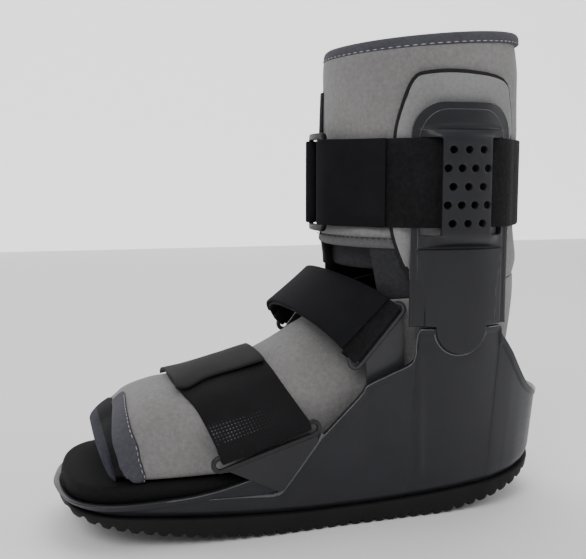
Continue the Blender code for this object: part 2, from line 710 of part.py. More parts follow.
def build_calf_strap(mats, parts):
    over_liner = LINER_RADIUS + GAP + STRAP_HALF
    over_pad = PAD_OUT + GAP + STRAP_HALF
    over_strip = STRUT_OUT + GAP + STRAP_HALF
    behind = (PAD_OUT + STRUT_IN + PANEL_BULGE) / 2
    over_panel = STRUT_OUT + PANEL_BULGE + GAP + STRAP_HALF
    ring_in = over_liner + 2 * STRAP_THICKNESS + 2 * GAP
    ring_mid = ring_in + CALF_RING_THICKNESS / 2
    layer = STRAP_THICKNESS + GAP
    edge = STRUT_HALF_ANGLE
    # degrees from a strut's centre line and the strap's radius there, from front to back
    crossing = [(-53, over_liner), (-39, over_pad), (-edge - 7, over_pad), (-edge - 1, over_strip),
                (-SLOT_OUTER_ANGLE + 0.6, over_strip), (-SLOT_INNER_ANGLE - 1.2, behind),
                (SLOT_INNER_ANGLE + 1.2, behind), (SLOT_OUTER_ANGLE - 0.6, over_strip),
                (edge + 1, over_strip), (edge + 7, over_pad), (39, over_pad), (53, over_liner)]
    path = [(CALF_RING_FAR + 1, over_liner)] + crossing
    path += [(180 - a, r) for a, r in reversed(crossing)]
    far_bar = CALF_RING_FAR + 360
    bar_half = np.degrees(CALF_RING_BAR / 2 / ring_mid)
    bar_angle = far_bar + bar_half
    back = over_liner + layer
    path += [(far_bar - 16, over_liner), (far_bar - 8, back)]
    points = arc_points(path)
    bar = around_calf(bar_angle, ring_mid, 0)
    out = around_calf(bar_angle, 1.0, 0) - around_calf(bar_angle, 0.0, 0)
    along = Vector((0, 0, 1)).cross(out)
    turn_radius = CALF_RING_THICKNESS / 2 + GAP + STRAP_HALF
    forward = bar + along * CALF_RING_BAR / 2
    points += [forward - out * turn_radius * cos(radians(a)) + along * turn_radius * sin(radians(a))
               for a in (0, 45, 90, 135, 180)]
    outer = ring_mid + turn_radius
    ends = [(far_bar - 5, outer), (far_bar - 28, outer), (214, over_panel), (180 - edge - 2, over_panel),
            (140, over_pad + 1.5 * layer), (128, over_liner + layer), (97, over_liner + layer)]
    points += arc_points(ends)
    low = CALF_STRAP_LOW
    rail_a = [Vector((p.x, p.y, low)) for p in points]
    rail_b = [Vector((p.x, p.y, low + CALF_STRAP_WIDTH)) for p in points]
    add_strip("calf_strap", [rail_a, rail_b], mats["strap"], parts)

    near_angle = CALF_RING_NEAR - bar_half
    near_bar = around_calf(near_angle, ring_mid, 0)
    near_out = around_calf(near_angle, 1.0, 0) - around_calf(near_angle, 0.0, 0)
    near_along = near_out.cross(Vector((0, 0, 1)))
    tab = arc_points([(-55, over_liner + 2 * layer), (-62, over_liner + 2 * layer),
                      (CALF_RING_NEAR + 3, outer)])
    hub = near_bar + near_along * CALF_RING_BAR / 2
    tab += [hub + near_out * turn_radius * cos(radians(a)) + near_along * turn_radius * sin(radians(a))
            for a in (0, 45, 90, 135, 180)]
    tab += arc_points([(CALF_RING_NEAR + 6, back), (-55, back)])
    rail_a = [Vector((p.x, p.y, low)) for p in tab]
    rail_b = [Vector((p.x, p.y, low + CALF_STRAP_WIDTH)) for p in tab]
    add_strip("calf_strap_tab", [rail_a, rail_b], mats["strap"], parts)
    build_calf_ring(ring_in, mats, parts)


def build_calf_ring(ring_in, mats, parts):
    """Rectangular ring bent round the calf: a closed section swept round its four bars."""
    low = CALF_STRAP_LOW - CALF_RING_MARGIN
    high = CALF_STRAP_LOW + CALF_STRAP_WIDTH + CALF_RING_MARGIN
    outer_z = (low - CALF_RING_BAR, high + CALF_RING_BAR)
    bar_angle = np.degrees(CALF_RING_BAR / ring_in)
    steps = 6
    inner = [CALF_RING_FAR + bar_angle + i / steps * (CALF_RING_NEAR - CALF_RING_FAR - 2 * bar_angle)
             for i in range(steps + 1)]
    outer = [CALF_RING_FAR + i / steps * (CALF_RING_NEAR - CALF_RING_FAR) for i in range(steps + 1)]
    hole = [(a, low) for a in inner] + [(a, high) for a in reversed(inner)]
    edge = [(a, outer_z[0]) for a in outer] + [(a, outer_z[1]) for a in reversed(outer)]
    rows = [[around_calf(a, radius, z) for a, z in loop]
            for loop, radius in ((hole, ring_in), (hole, ring_in + CALF_RING_THICKNESS),
                                 (edge, ring_in + CALF_RING_THICKNESS), (edge, ring_in), (hole, ring_in))]
    bm = sheet(rows, closed=True)
    bmesh.ops.remove_doubles(bm, verts=bm.verts, dist=1e-6)
    add_object("calf_ring", bm, mats["ring"], parts)


def lean_out(verts, side, lean, low_z):
    """Shear a flat ring outwards with height, so that its top clears the liner."""
    for vert in verts:
        vert.co.y += side * lean * (vert.co.z - low_z)


def ring_plate(name, loop_a, loop_b, corners, y, mat, parts, cutters, lean=0.0):
    """Flat ring: a slotted bar between two loop centres with a plate below it, in the plane of one y."""
    side = 1 if y > 0 else -1
    low_z = min(z for x, z in corners)
    a = Vector((loop_a[0], 0, loop_a[1]))
    b = Vector((loop_b[0], 0, loop_b[1]))
    along = (b - a).normalized()
    up = Vector((-along.z, 0, along.x))
    radius = RING_SLOT / 2 + RING_WIRE
    points = [b + along * radius * cos(radians(t)) + up * radius * sin(radians(t)) for t in range(-60, 91, 30)]
    points += [a + along * radius * cos(radians(t)) + up * radius * sin(radians(t))
               for t in range(90, 241, 30)]
    points += [Vector((x, 0, z)) for x, z in corners]
    bm = bmesh.new()
    face = bm.faces.new([bm.verts.new((p.x, y - RING_THICKNESS / 2, p.z)) for p in points])
    extruded = bmesh.ops.extrude_face_region(bm, geom=[face])
    moved = [item for item in extruded["geom"] if isinstance(item, bmesh.types.BMVert)]
    bmesh.ops.translate(bm, vec=(0, RING_THICKNESS, 0), verts=moved)
    lean_out(bm.verts, side, lean, low_z)
    ring = add_object(name, bm, mat, parts)
    slot = [b + along * RING_SLOT / 2 * cos(radians(t)) + up * RING_SLOT / 2 * sin(radians(t))
            for t in range(-90, 91, 45)]
    slot += [a + along * RING_SLOT / 2 * cos(radians(t)) + up * RING_SLOT / 2 * sin(radians(t))
             for t in range(90, 271, 45)]
    bm = bmesh.new()
    face = bm.faces.new([bm.verts.new((p.x, y - 2 * RING_THICKNESS, p.z)) for p in slot])
    extruded = bmesh.ops.extrude_face_region(bm, geom=[face])
    moved = [item for item in extruded["geom"] if isinstance(item, bmesh.types.BMVert)]
    bmesh.ops.translate(bm, vec=(0, 4 * RING_THICKNESS, 0), verts=moved)
    lean_out(bm.verts, side, lean, low_z)
    cutter = add_object(name + "_slot", bm, None, cutters)
    cut(ring, cutter)
    for centre in (a, b):
        centre.y = y + side * lean * (centre.z - low_z)
    return a, b


def build_toe_strap(mats, parts, cutters):
    y = HALF_WIDTH + GAP + RING_THICKNESS / 2
    a, b = ring_plate("toe_ring_left", TOE_LOOPS[0], TOE_LOOPS[1], TOE_CORNERS, -y,
                      mats["ring"], parts, cutters)
    along = (b - a).normalized()
    up = Vector((-along.z, 0, along.x))
    mirrored(parts.objects["toe_ring_left"], "toe_ring_right", parts)
    bar_up = up * (RING_SLOT / 2 + RING_WIRE / 2)
    radius = hypot(RING_THICKNESS, RING_WIRE) / 2 + GAP + STRAP_HALF
    out = 4 * GAP + STRAP_HALF
    rails = []
    margin = (RING_SLOT + (b - a).length - TOE_STRAP_WIDTH) / 2
    for share in (0.0, 0.33, 0.67, 1.0):
        u_top = TOE_STRAP_TOP[0] + share * (TOE_STRAP_TOP[1] - TOE_STRAP_TOP[0])
        u_side = TOE_STRAP_SIDE[0] + share * (TOE_STRAP_SIDE[1] - TOE_STRAP_SIDE[0])
        place = margin - RING_SLOT / 2 + share * TOE_STRAP_WIDTH
        bar = a + along * place + bar_up
        side = turn_round_bar(bar, Vector((0, -1, 0)), -up, radius, 0.006, -36)
        over = []
        for turn in range(-60, 61, 10):
            u = u_top + (u_side - u_top) * (turn / 60) ** 2
            over.append(foot_point(foot_section_at(u), turn, out))
        rails.append([flip(p) for p in reversed(side)] + over + side)
    add_strip("toe_strap", rails, mats["mesh_strap"], parts)
    lift = out + STRAP_THICKNESS + 2 * GAP
    patch = []
    for share in (0.0, 0.33, 0.67, 1.0):
        section = foot_section_at(TOE_END_SPAN[0] + share * (TOE_END_SPAN[1] - TOE_END_SPAN[0]))
        patch.append([foot_point(section, turn, lift) for turn in range(-50, 41, 10)])
    add_strip("toe_strap_end", patch, mats["strap_end"], parts)


def build_ankle_strap(mats, parts, cutters):
    low_z = min(z for x, z in ANKLE_CORNERS)
    mid_x = (ANKLE_CORNERS[1][0] + ANKLE_CORNERS[2][0]) / 2
    y = shell_wall_y(mid_x, low_z) - SHELL_WALL - 4 * GAP - RING_THICKNESS / 2
    top_x, top_z = ANKLE_LOOPS[1]
    liner_y = LINER_RADIUS * cos(asin((top_x - CALF_X) / LINER_RADIUS))
    lean = (liner_y + 11 * GAP + RING_THICKNESS / 2 - y) / (top_z - low_z)
    sides = []
    for name, shift, side in (("ankle_ring_left", (0.0, 0.0), -1), ("ankle_ring_right", FAR_ANKLE_SHIFT, 1)):
        loops = [(x + shift[0], z + shift[1]) for x, z in ANKLE_LOOPS]
        corners = [(x + shift[0], z + shift[1]) for x, z in ANKLE_CORNERS]
        a, b = ring_plate(name, loops[0], loops[1], corners, y * side, mats["ring"], parts, cutters, lean)
        along = (b - a).normalized()
        up = Vector((0, 1, 0)).cross(along)
        up = (-up if up.z < 0 else up) + Vector((0, side * lean, 0))
        sides.append((a, b, along, up.normalized(), side))
    radius = hypot(RING_THICKNESS, RING_WIRE) / 2 + GAP + STRAP_HALF
    under = []
    cover = []
    for edge in (0, 1):
        ends = []
        for a, b, along, up, side in sides:
            length = (b - a).length
            margin = (RING_SLOT + length - ANKLE_STRAP_WIDTH) / 2 - RING_SLOT / 2
            place = margin if edge == 0 else length - margin
            bar = a + along * place + up * (RING_SLOT / 2 + RING_WIRE / 2)
            out = up.cross(along).normalized()
            out = out if out.y * side > 0 else -out
            ends.append(turn_round_bar(bar, out, -up, radius, 0.005))
        near = ends[0]
        far = ends[1]
        middle = (near[0] + far[0]) / 2
        half = (far[0] - near[0]) / 2
        lean = radians(ANKLE_LEAN[edge])
        rise = Vector((-sin(lean), 0, cos(lean)))
        arch = []
        for step in range(1, 12):
            t = pi * step / 12
            arch.append(middle - half * cos(t) + rise * ANKLE_RISE[edge] * sin(t) ** 0.8)
        under.append(list(reversed(near)) + arch + far)
        cover.append(arch)
    add_strip("ankle_strap", under, mats["strap"], parts)
    outer = lifted_rails(cover[0], cover[1], STRAP_THICKNESS + 2 * GAP)
    add_strip("ankle_strap_end", [rail[1:-1] for rail in outer], mats["strap_end"], parts)


def build_boot():
    for obj in list(bpy.data.objects):
        bpy.data.objects.remove(obj, do_unlink=True)
    parts = bpy.data.collections.new("immobilizer_boot")
    cutters = bpy.data.collections.new("cutters")
    bpy.context.scene.collection.children.link(parts)
    bpy.context.scene.collection.children.link(cutters)
    mats = {
        "sole": material("sole_rubber", (0.02, 0.02, 0.022), 0.75),
        "shell": material("shell_plastic", (0.045, 0.046, 0.055), 0.45),
        "strut": material("strut_plastic", (0.05, 0.052, 0.06), 0.42),
        "insole": material("insole_foam", (0.015, 0.015, 0.016), 0.9),
        "liner": material("liner_fabric", (0.22, 0.215, 0.215), 0.95),
        "pad": material("pad_foam", (0.24, 0.235, 0.235), 0.95),
        "binding": material("binding_fabric", (0.06, 0.062, 0.085), 0.85),
        "tongue": material("tongue_fabric", (0.05, 0.05, 0.055), 0.9),
        "strap": material("strap_webbing", (0.012, 0.012, 0.014), 0.85),
        "mesh_strap": material("mesh_webbing", (0.01, 0.01, 0.011), 0.8),
        "strap_end": material("strap_end_fabric", (0.03, 0.03, 0.033), 0.7),
        "ring": material("ring_plastic", (0.05, 0.05, 0.055), 0.5),
    }
    build_outsole(mats["sole"], parts)
    build_shell(mats["shell"], parts, cutters)
    build_insole(mats["insole"], parts)
    build_liner(mats, parts)
    build_calf(mats, parts)
    build_struts(mats, parts, cutters)
    build_calf_strap(mats, parts)
    build_toe_strap(mats, parts, cutters)
    build_ankle_strap(mats, parts, cutters)


build_boot()
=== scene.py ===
from math import cos, hypot, pi, radians, sin

import bmesh
import bpy
import numpy as np
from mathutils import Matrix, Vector, noise


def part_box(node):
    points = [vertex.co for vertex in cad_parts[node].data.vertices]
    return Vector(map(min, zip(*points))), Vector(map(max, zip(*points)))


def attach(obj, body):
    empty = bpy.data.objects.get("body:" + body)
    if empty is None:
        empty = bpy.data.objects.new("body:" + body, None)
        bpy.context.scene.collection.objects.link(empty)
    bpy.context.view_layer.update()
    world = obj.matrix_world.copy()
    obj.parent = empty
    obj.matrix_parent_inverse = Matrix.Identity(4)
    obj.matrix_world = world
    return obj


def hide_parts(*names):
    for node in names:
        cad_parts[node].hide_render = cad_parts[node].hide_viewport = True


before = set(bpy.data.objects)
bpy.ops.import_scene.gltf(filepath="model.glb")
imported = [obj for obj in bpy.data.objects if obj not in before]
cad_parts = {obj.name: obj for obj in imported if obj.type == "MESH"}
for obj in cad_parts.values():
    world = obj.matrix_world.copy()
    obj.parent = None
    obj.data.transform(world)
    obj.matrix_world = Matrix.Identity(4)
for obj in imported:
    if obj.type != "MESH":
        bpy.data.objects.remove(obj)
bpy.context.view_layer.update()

# Immobilizer boot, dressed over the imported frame. Metres, toe towards -X, near side -Y.

boot = {
    "toeX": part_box("shell")[0].x,
    "heelX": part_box("shell")[1].x,
    "halfWidth": 0.056,        # shell rim at the forefoot
    "wingTop": 0.1165,
    "insoleTop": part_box("insole_pad")[1].z,
    "calfX": 0.0715,           # vertical axis of the calf liner
    "linerRadius": 0.0594,
    "linerWall": 0.006,
    "gap": 0.0003,
    "strutIn": 0.0622,
    "strutOut": 0.0658,
    "collarFront": 0.128,
    "collarBack": 0.143,
}


def aroundCalf(angle, radius, z):      # 0 is the near side, 90 the heel, 180 the far side
    turn = radians(angle)
    return Vector((boot["calfX"] + radius * sin(turn), -radius * cos(turn), z))


def ease(low, high, value):
    share = min(1.0, max(0.0, (value - low) / (high - low)))
    return share * share * (3 - 2 * share)


def ringAt(angle, section):            # radii and heights of a section, placed round the calf
    return [aroundCalf(angle, radius, z) for radius, z in section]


def calfOut(angle):
    return aroundCalf(angle, 1, 0) - aroundCalf(angle, 0, 0)


def bendBetween(p0, p1, p2, p3, t):    # on a smooth curve from p1 to p2
    bend = 2 * p1 + (p2 - p0) * t + (2 * p0 - 5 * p1 + 4 * p2 - p3) * t ** 2
    return (bend + (3 * p1 - p0 - 3 * p2 + p3) * t ** 3) / 2


def smoothRows(rows, steps, before=None, after=None):
    points = np.array(rows, float)
    first = 2 * points[0] - points[1] if before is None else np.array(before, float)
    last = 2 * points[-1] - points[-2] if after is None else np.array(after, float)
    padded = np.vstack([first, points, last])
    out = []
    for i in range(1, len(padded) - 2):
        out += [bendBetween(*padded[i - 1:i + 3], t) for t in np.arange(steps) / steps]
    out.append(padded[-2])
    return np.array(out)


def farSide(points):                   # mirrored, in the opposite order
    return [Vector((p.x, -p.y, p.z)) for p in reversed(points)]


def beside(items, i):                  # the next item and the one before
    return items[min(len(items) - 1, i + 1)], items[max(0, i - 1)]


def squared(value, power):             # a sine or cosine that draws a squarer round
    return abs(value) ** power * (1 if value > 0 else -1)


def wrapBar(centre, first, second, radius, turns):
    return [centre + first * radius * cos(radians(a)) + second * radius * sin(radians(a)) for a in turns]


# meshes

def layFaces(bm, rows, closed=False, capped=False, materialIndex=0):
    # quads through rows of points; UVs are metres across and along
    uv = bm.loops.layers.uv.verify()
    grid = [[bm.verts.new(point) for point in row] for row in rows]
    width = len(rows[0])
    across = [0.0]
    for i in range(1, width + 1):
        across.append(across[-1] + (rows[0][i % width] - rows[0][i - 1]).length)
    along = [0.0]
    middle = width // 4
    for low, high in zip(rows, rows[1:]):
        along.append(along[-1] + (high[middle] - low[middle]).length)
    for r in range(len(rows) - 1):
        for i in range(width if closed else width - 1):
            j = (i + 1) % width
            face = bm.faces.new((grid[r][i], grid[r][j], grid[r + 1][j], grid[r + 1][i]))
            face.material_index = materialIndex
            corners = ((across[i], along[r]), (across[i + 1], along[r]),
                       (across[i + 1], along[r + 1]), (across[i], along[r + 1]))
            for loop, corner in zip(face.loops, corners):
                loop[uv].uv = corner
    if capped:
        for row in (grid[0], grid[-1]):
            bm.faces.new(row).material_index = materialIndex
    return grid


def makePiece(name, bm, materials, nodes=(), weld=1e-6, rides=True, crease=0, rounds=0):
    # crease: edges sharper than this stay hard; rounds: subdivisions
    if weld:
        bmesh.ops.remove_doubles(bm, verts=bm.verts, dist=weld)
    bmesh.ops.recalc_face_normals(bm, faces=bm.faces)
    for face in bm.faces:
        face.smooth = True
    mesh = bpy.data.meshes.new(name)
    bm.to_mesh(mesh)
    bm.free()
    for material in materials:
        mesh.materials.append(material)
    piece = bpy.data.objects.new(name, mesh)
    bpy.context.scene.collection.objects.link(piece)
    if rides:
        if nodes:
            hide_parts(*nodes)
        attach(piece, "root")
    if crease:
        mesh.set_sharp_from_angle(angle=radians(crease))
    if rounds:
        mod = piece.modifiers.new("Subdivision", "SUBSURF")
        mod.levels = rounds
        mod.render_levels = rounds
    return piece


def stripSection(row, ahead, behind, thickness):
    # closed section of a strap: across the top, round one edge, back underneath, round the other
    top = []
    low = []
    half = thickness / 2
    for i, point in enumerate(row):
        after, before = beside(row, i)
        normal = (ahead[i] - behind[i]).cross(after - before).normalized()
        top.append(point + normal * half)
        low.append(point - normal * half)
    loop = list(top)
    last = len(row) - 1
    for edge, inner, start in ((last, last - 1, 1), (0, 1, -1)):
        out = (row[edge] - row[inner]).normalized()
        up = (top[edge] - low[edge]).normalized() * start
        loop += wrapBar(row[edge], up, out, half, (45, 90, 135))
        if start == 1:
            loop += list(reversed(low))
    return loop


def strapMesh(rows, thickness):
    bm = bmesh.new()
    sections = [stripSection(row, *beside(rows, i), thickness) for i, row in enumerate(rows)]
    layFaces(bm, sections, closed=True, capped=True)
    return bm


def sweepTube(bm, path, widths, closed=False, sides=8, normals=None, power=1.0):
    # rounded bar along a path; widths are its half sizes along the given normal and across it
    rings = []
    turns = np.arange(sides) * 2 * pi / sides
    for i, point in enumerate(path):
        after, before = (path[(i + 1) % len(path)], path[i - 1]) if closed else beside(path, i)
        forward = (after - before).normalized()
        normal = normals[i] if normals else Vector((0, 0, 1))
        normal = (normal - forward * normal.dot(forward)).normalized()
        side = forward.cross(normal)
        rings.append([point + normal * squared(cos(t), power) * widths[0]
                      + side * squared(sin(t), power) * widths[1] for t in turns])
    if closed:
        rings.append(rings[0])
    layFaces(bm, rings, closed=True, capped=not closed)


def mirrorInto(bm):
    # adds the far side's copy of everything built so far
    made = bmesh.ops.duplicate(bm, geom=bm.verts[:] + bm.edges[:] + bm.faces[:])
    verts = [item for item in made["geom"] if isinstance(item, bmesh.types.BMVert)]
    bmesh.ops.scale(bm, vec=(1, -1, 1), verts=verts)


def mirroredPiece(piece, name, nodes):
    bm = bmesh.new()
    bm.from_mesh(piece.data)
    bmesh.ops.scale(bm, vec=(1, -1, 1), verts=bm.verts)
    makePiece(name, bm, list(piece.data.materials), nodes, weld=0)


def pushOut(bm, face, depth):
    # gives a flat face a thickness along Y
    made = bmesh.ops.extrude_face_region(bm, geom=[face])
    moved = [item for item in made["geom"] if isinstance(item, bmesh.types.BMVert)]
    bmesh.ops.translate(bm, vec=(0, depth, 0), verts=moved)
    return moved


def cutAway(piece, tool):
    mod = piece.modifiers.new("Cut", "BOOLEAN")
    mod.object = tool
    mod.solver = "EXACT"
    mesh = bpy.data.meshes.new_from_object(piece.evaluated_get(bpy.context.evaluated_depsgraph_get()))
    piece.modifiers.clear()
    piece.data = mesh
    bpy.data.objects.remove(tool)


# effects shared by several materials

def newGroup(name, inputs, outputs):
    group = bpy.data.node_groups.new(name, "ShaderNodeTree")
    for label, value in inputs:
        socket = group.interface.new_socket(name=label, in_out="INPUT", socket_type="NodeSocketFloat")
        socket.default_value = value
    for label in outputs:
        group.interface.new_socket(name=label, in_out="OUTPUT", socket_type="NodeSocketFloat")
    start = group.nodes.new("NodeGroupInput")
    end = group.nodes.new("NodeGroupOutput")
    return group, start, end


def addNode(tree, kind, links=(), **values):
    node = tree.nodes.new(kind)
    for key, value in values.items():
        setattr(node, key, value)
    for place, value in links:
        if isinstance(value, bpy.types.NodeSocket):
            tree.links.new(value, node.inputs[place])
        else:
            node.inputs[place].default_value = value
    return node


def mathNode(tree, operation, first, second=None, third=None):
    places = [(i, value) for i, value in enumerate((first, second, third)) if value is not None]
    return addNode(tree, "ShaderNodeMath", places, operation=operation).outputs[0]


def noiseNode(tree, coords, scale, detail=3.0, roughness=0.6):
    node = addNode(tree, "ShaderNodeTexNoise", (("Vector", coords), ("Scale", scale), ("Detail", detail),
                                                ("Roughness", roughness)))
    return node.outputs["Fac"]


def stretched(tree, coords, scale):
    return addNode(tree, "ShaderNodeMapping", (("Vector", coords), ("Scale", scale))).outputs["Vector"]


def centred(tree, value, amount):      # swings round zero
    return mathNode(tree, "MULTIPLY", mathNode(tree, "SUBTRACT", value, 0.5), amount)


def total(tree, *values):
    out = values[0]
    for value in values[1:]:
        out = mathNode(tree, "ADD", out, value)
    return out


def placeOn(tree, kind):               # Object or UV places
    return addNode(tree, "ShaderNodeTexCoord").outputs[kind]


def flatPlace(tree):                   # metres across and along a strap
    parts = addNode(tree, "ShaderNodeSeparateXYZ", (("Vector", placeOn(tree, "UV")),))
    return parts.outputs["X"], parts.outputs["Y"]


def brushedPile():
    # short brushed loops: fine speckle, a coarser mottle and faint upright combing
    tree, start, end = newGroup("brushedPile", (("Fineness", 1.0), ("Speckle", 0.5), ("Combing", 0.2)),
                                ("Shade", "Height"))
    place = placeOn(tree, "Object")
    fine = noiseNode(tree, place, mathNode(tree, "MULTIPLY", start.outputs["Fineness"], 1500.0), 2.0, 0.7)
    coarse = noiseNode(tree, place, mathNode(tree, "MULTIPLY", start.outputs["Fineness"], 420.0), 3.0, 0.6)
    broad = noiseNode(tree, place, 24.0, 2.0, 0.5)
    combed = noiseNode(tree, stretched(tree, place, (1.0, 1.0, 0.12)), 1300.0, 2.0, 0.6)
    shade = total(tree, centred(tree, fine, start.outputs["Speckle"]), centred(tree, coarse, 0.9),
                  centred(tree, combed, start.outputs["Combing"]), centred(tree, broad, 0.45), 0.5)
    tree.links.new(shade, end.inputs["Shade"])
    tree.links.new(total(tree, fine, combed, coarse), end.inputs["Height"])
    return tree


def threadWave(tree, distance, pitch, shift=0.0):      # one swing for each thread
    turns = mathNode(tree, "DIVIDE", mathNode(tree, "MULTIPLY", distance, 2 * pi), pitch)
    return mathNode(tree, "SINE", mathNode(tree, "ADD", turns, shift))


def wovenRibs():
    # webbing: ribs across the strap crossed by finer warp threads, from the strap's own metres
    tree, start, end = newGroup("wovenRibs", (("Rib pitch", 0.0011), ("Warp pitch", 0.0009), ("Fuzz", 0.3)),
                                ("Shade", "Height"))
    across, along = flatPlace(tree)
    ribs = threadWave(tree, along, start.outputs["Rib pitch"])
    warp = threadWave(tree, across, start.outputs["Warp pitch"], mathNode(tree, "MULTIPLY", ribs, 0.8))
    threads = mathNode(tree, "MULTIPLY_ADD", mathNode(tree, "MULTIPLY", ribs, warp), 0.25, 0.5)
    body = placeOn(tree, "Object")
    fuzz = centred(tree, noiseNode(tree, body, 1700.0, 2.0, 0.75), start.outputs["Fuzz"])
    wide = centred(tree, noiseNode(tree, body, 60.0, 2.0, 0.5), 0.5)
    tree.links.new(total(tree, threads, fuzz, wide), end.inputs["Shade"])
    tree.links.new(total(tree, threads, mathNode(tree, "MULTIPLY", fuzz, 1.5)), end.inputs["Height"])
    return tree


def mouldedGrain():
    # spark-eroded mould finish with handling marks and a little dust
    tree, start, end = newGroup("mouldedGrain", (("Grain", 1.0), ("Dust", 0.1)),
                                ("Shade", "Rough", "Height"))
    place = placeOn(tree, "Object")
    grain = noiseNode(tree, place, mathNode(tree, "MULTIPLY", start.outputs["Grain"], 2200.0), 2.0, 0.6)
    rubbed = noiseNode(tree, place, 34.0, 4.0, 0.62)
    scuff = noiseNode(tree, stretched(tree, place, (9.0, 9.0, 60.0)), 9.0, 3.0, 0.7)
    specks = mathNode(tree, "GREATER_THAN", noiseNode(tree, place, 520.0, 2.0, 0.8), 0.73)
    dust = mathNode(tree, "MULTIPLY", specks, start.outputs["Dust"])
    tree.links.new(total(tree, centred(tree, rubbed, 0.8), 0.5, dust), end.inputs["Shade"])
    rough = total(tree, centred(tree, scuff, 0.16), mathNode(tree, "MULTIPLY", rubbed, 0.12))
    tree.links.new(rough, end.inputs["Rough"])
    tree.links.new(grain, end.inputs["Height"])
    return tree


effects = {"pile": brushedPile(), "weave": wovenRibs(), "grain": mouldedGrain()}
print("effects built")


# materials

def startMaterial(name):
    material = bpy.data.materials.new(name)
    material.use_nodes = True
    tree = material.node_tree
    return material, tree, tree.nodes["Principled BSDF"]


def setSockets(node, values):
    for key, value in values.items():
        node.inputs[key].default_value = value


def useEffect(tree, effect, values):
    node = tree.nodes.new("ShaderNodeGroup")
    node.node_tree = effects[effect]
    setSockets(node, values)
    return node


def blendColours(tree, shade, dark, light):
    ramp = tree.nodes.new("ShaderNodeValToRGB")
    for element, position, colour in zip(ramp.color_ramp.elements, (0.2, 0.8), (dark, light)):
        element.position = position
        element.color = (*colour, 1)
    tree.links.new(shade, ramp.inputs["Fac"])
    return ramp.outputs["Color"]


def bumpInto(tree, shader, height, strength, distance):
    bump = addNode(tree, "ShaderNodeBump", (("Strength", strength), ("Distance", distance), ("Height", height)))
    tree.links.new(bump.outputs["Normal"], shader.inputs["Normal"])


def pileFabric(name, dark, light, fineness=1.0, speckle=0.5, combing=0.2, bump=0.5, sheen=0.15):
    material, tree, shader = startMaterial(name)
    pile = useEffect(tree, "pile", {"Fineness": fineness, "Speckle": speckle, "Combing": combing})
    tree.links.new(blendColours(tree, pile.outputs["Shade"], dark, light), shader.inputs["Base Color"])
    setSockets(shader, {"Roughness": 0.95, "Sheen Weight": sheen, "Sheen Roughness": 0.6,
                        "Specular IOR Level": 0.2})
    bumpInto(tree, shader, pile.outputs["Height"], bump, 0.0004)
    return material


def webbing(name, dark, light, ribPitch, warpPitch, fuzz, roughness, bump, gloss=0.15):
    material, tree, shader = startMaterial(name)
    weave = useEffect(tree, "weave", {"Rib pitch": ribPitch, "Warp pitch": warpPitch, "Fuzz": fuzz})
    tree.links.new(blendColours(tree, weave.outputs["Shade"], dark, light), shader.inputs["Base Color"])
    setSockets(shader, {"Roughness": roughness, "Specular IOR Level": gloss})
    bumpInto(tree, shader, weave.outputs["Height"], bump, 0.0003)
    return material


def mouldedPlastic(name, dark, light, roughness=0.42, dust=0.1, grain=1.0, bump=0.12, gloss=0.32):
    material, tree, shader = startMaterial(name)
    marks = useEffect(tree, "grain", {"Grain": grain, "Dust": dust})
    tree.links.new(blendColours(tree, marks.outputs["Shade"], dark, light), shader.inputs["Base Color"])
    rough = mathNode(tree, "ADD", marks.outputs["Rough"], roughness - 0.06)      # the marks add about 0.06
    tree.links.new(rough, shader.inputs["Roughness"])
    setSockets(shader, {"Specular IOR Level": gloss})
    bumpInto(tree, shader, marks.outputs["Height"], bump, 0.0002)
    return material


dots = {
    "pitch": 0.0019,
    "radius": 0.30,            # share of the pitch, at the strap's front edge
    "nearEdge": 0.0065,        # the dotted band's edges, from the ring's bar
    "farEdge": 0.0185,
    "wide": 0.044,             # how far from the front edge the dots shrink to nothing
}


def meshWebbing(name, dark, light, thread, barAt):
    # black mesh with a band of pale dots near the ring; barAt is where the ring's bar lies along the strap
    material, tree, shader = startMaterial(name)
    weave = useEffect(tree, "weave", {"Rib pitch": 0.0013, "Warp pitch": 0.0011, "Fuzz": 0.5})
    base = blendColours(tree, weave.outputs["Shade"], dark, light)
    across, along = flatPlace(tree)
    squares = []
    for place in (across, along):
        inCell = mathNode(tree, "FRACT", mathNode(tree, "DIVIDE", place, dots["pitch"]))
        fromMiddle = mathNode(tree, "SUBTRACT", inCell, 0.5)
        squares.append(mathNode(tree, "MULTIPLY", fromMiddle, fromMiddle))
    away = mathNode(tree, "SQRT", total(tree, *squares))
    size = mathNode(tree, "MULTIPLY_ADD", across, -dots["radius"] / dots["wide"], dots["radius"])
    mask = mathNode(tree, "LESS_THAN", away, size)
    rub = noiseNode(tree, placeOn(tree, "Object"), 160.0, 2.0, 0.5)
    worn = addNode(tree, "ShaderNodeMapRange", (("Value", rub), ("From Min", 0.3), ("From Max", 0.6)))
    low = mathNode(tree, "GREATER_THAN", along, barAt - dots["farEdge"])
    high = mathNode(tree, "LESS_THAN", along, barAt - dots["nearEdge"])
    for part in (worn.outputs["Result"], low, high):
        mask = mathNode(tree, "MULTIPLY", mask, part)
    mixed = addNode(tree, "ShaderNodeMix", data_type="RGBA")
    tree.links.new(mask, mixed.inputs["Factor"])
    tree.links.new(base, mixed.inputs["A"])
    mixed.inputs["B"].default_value = (*thread, 1)
    tree.links.new(mixed.outputs["Result"], shader.inputs["Base Color"])
    setSockets(shader, {"Roughness": 0.8, "Specular IOR Level": 0.2})
    bumpInto(tree, shader, weave.outputs["Height"], 0.7, 0.0004)
    return material


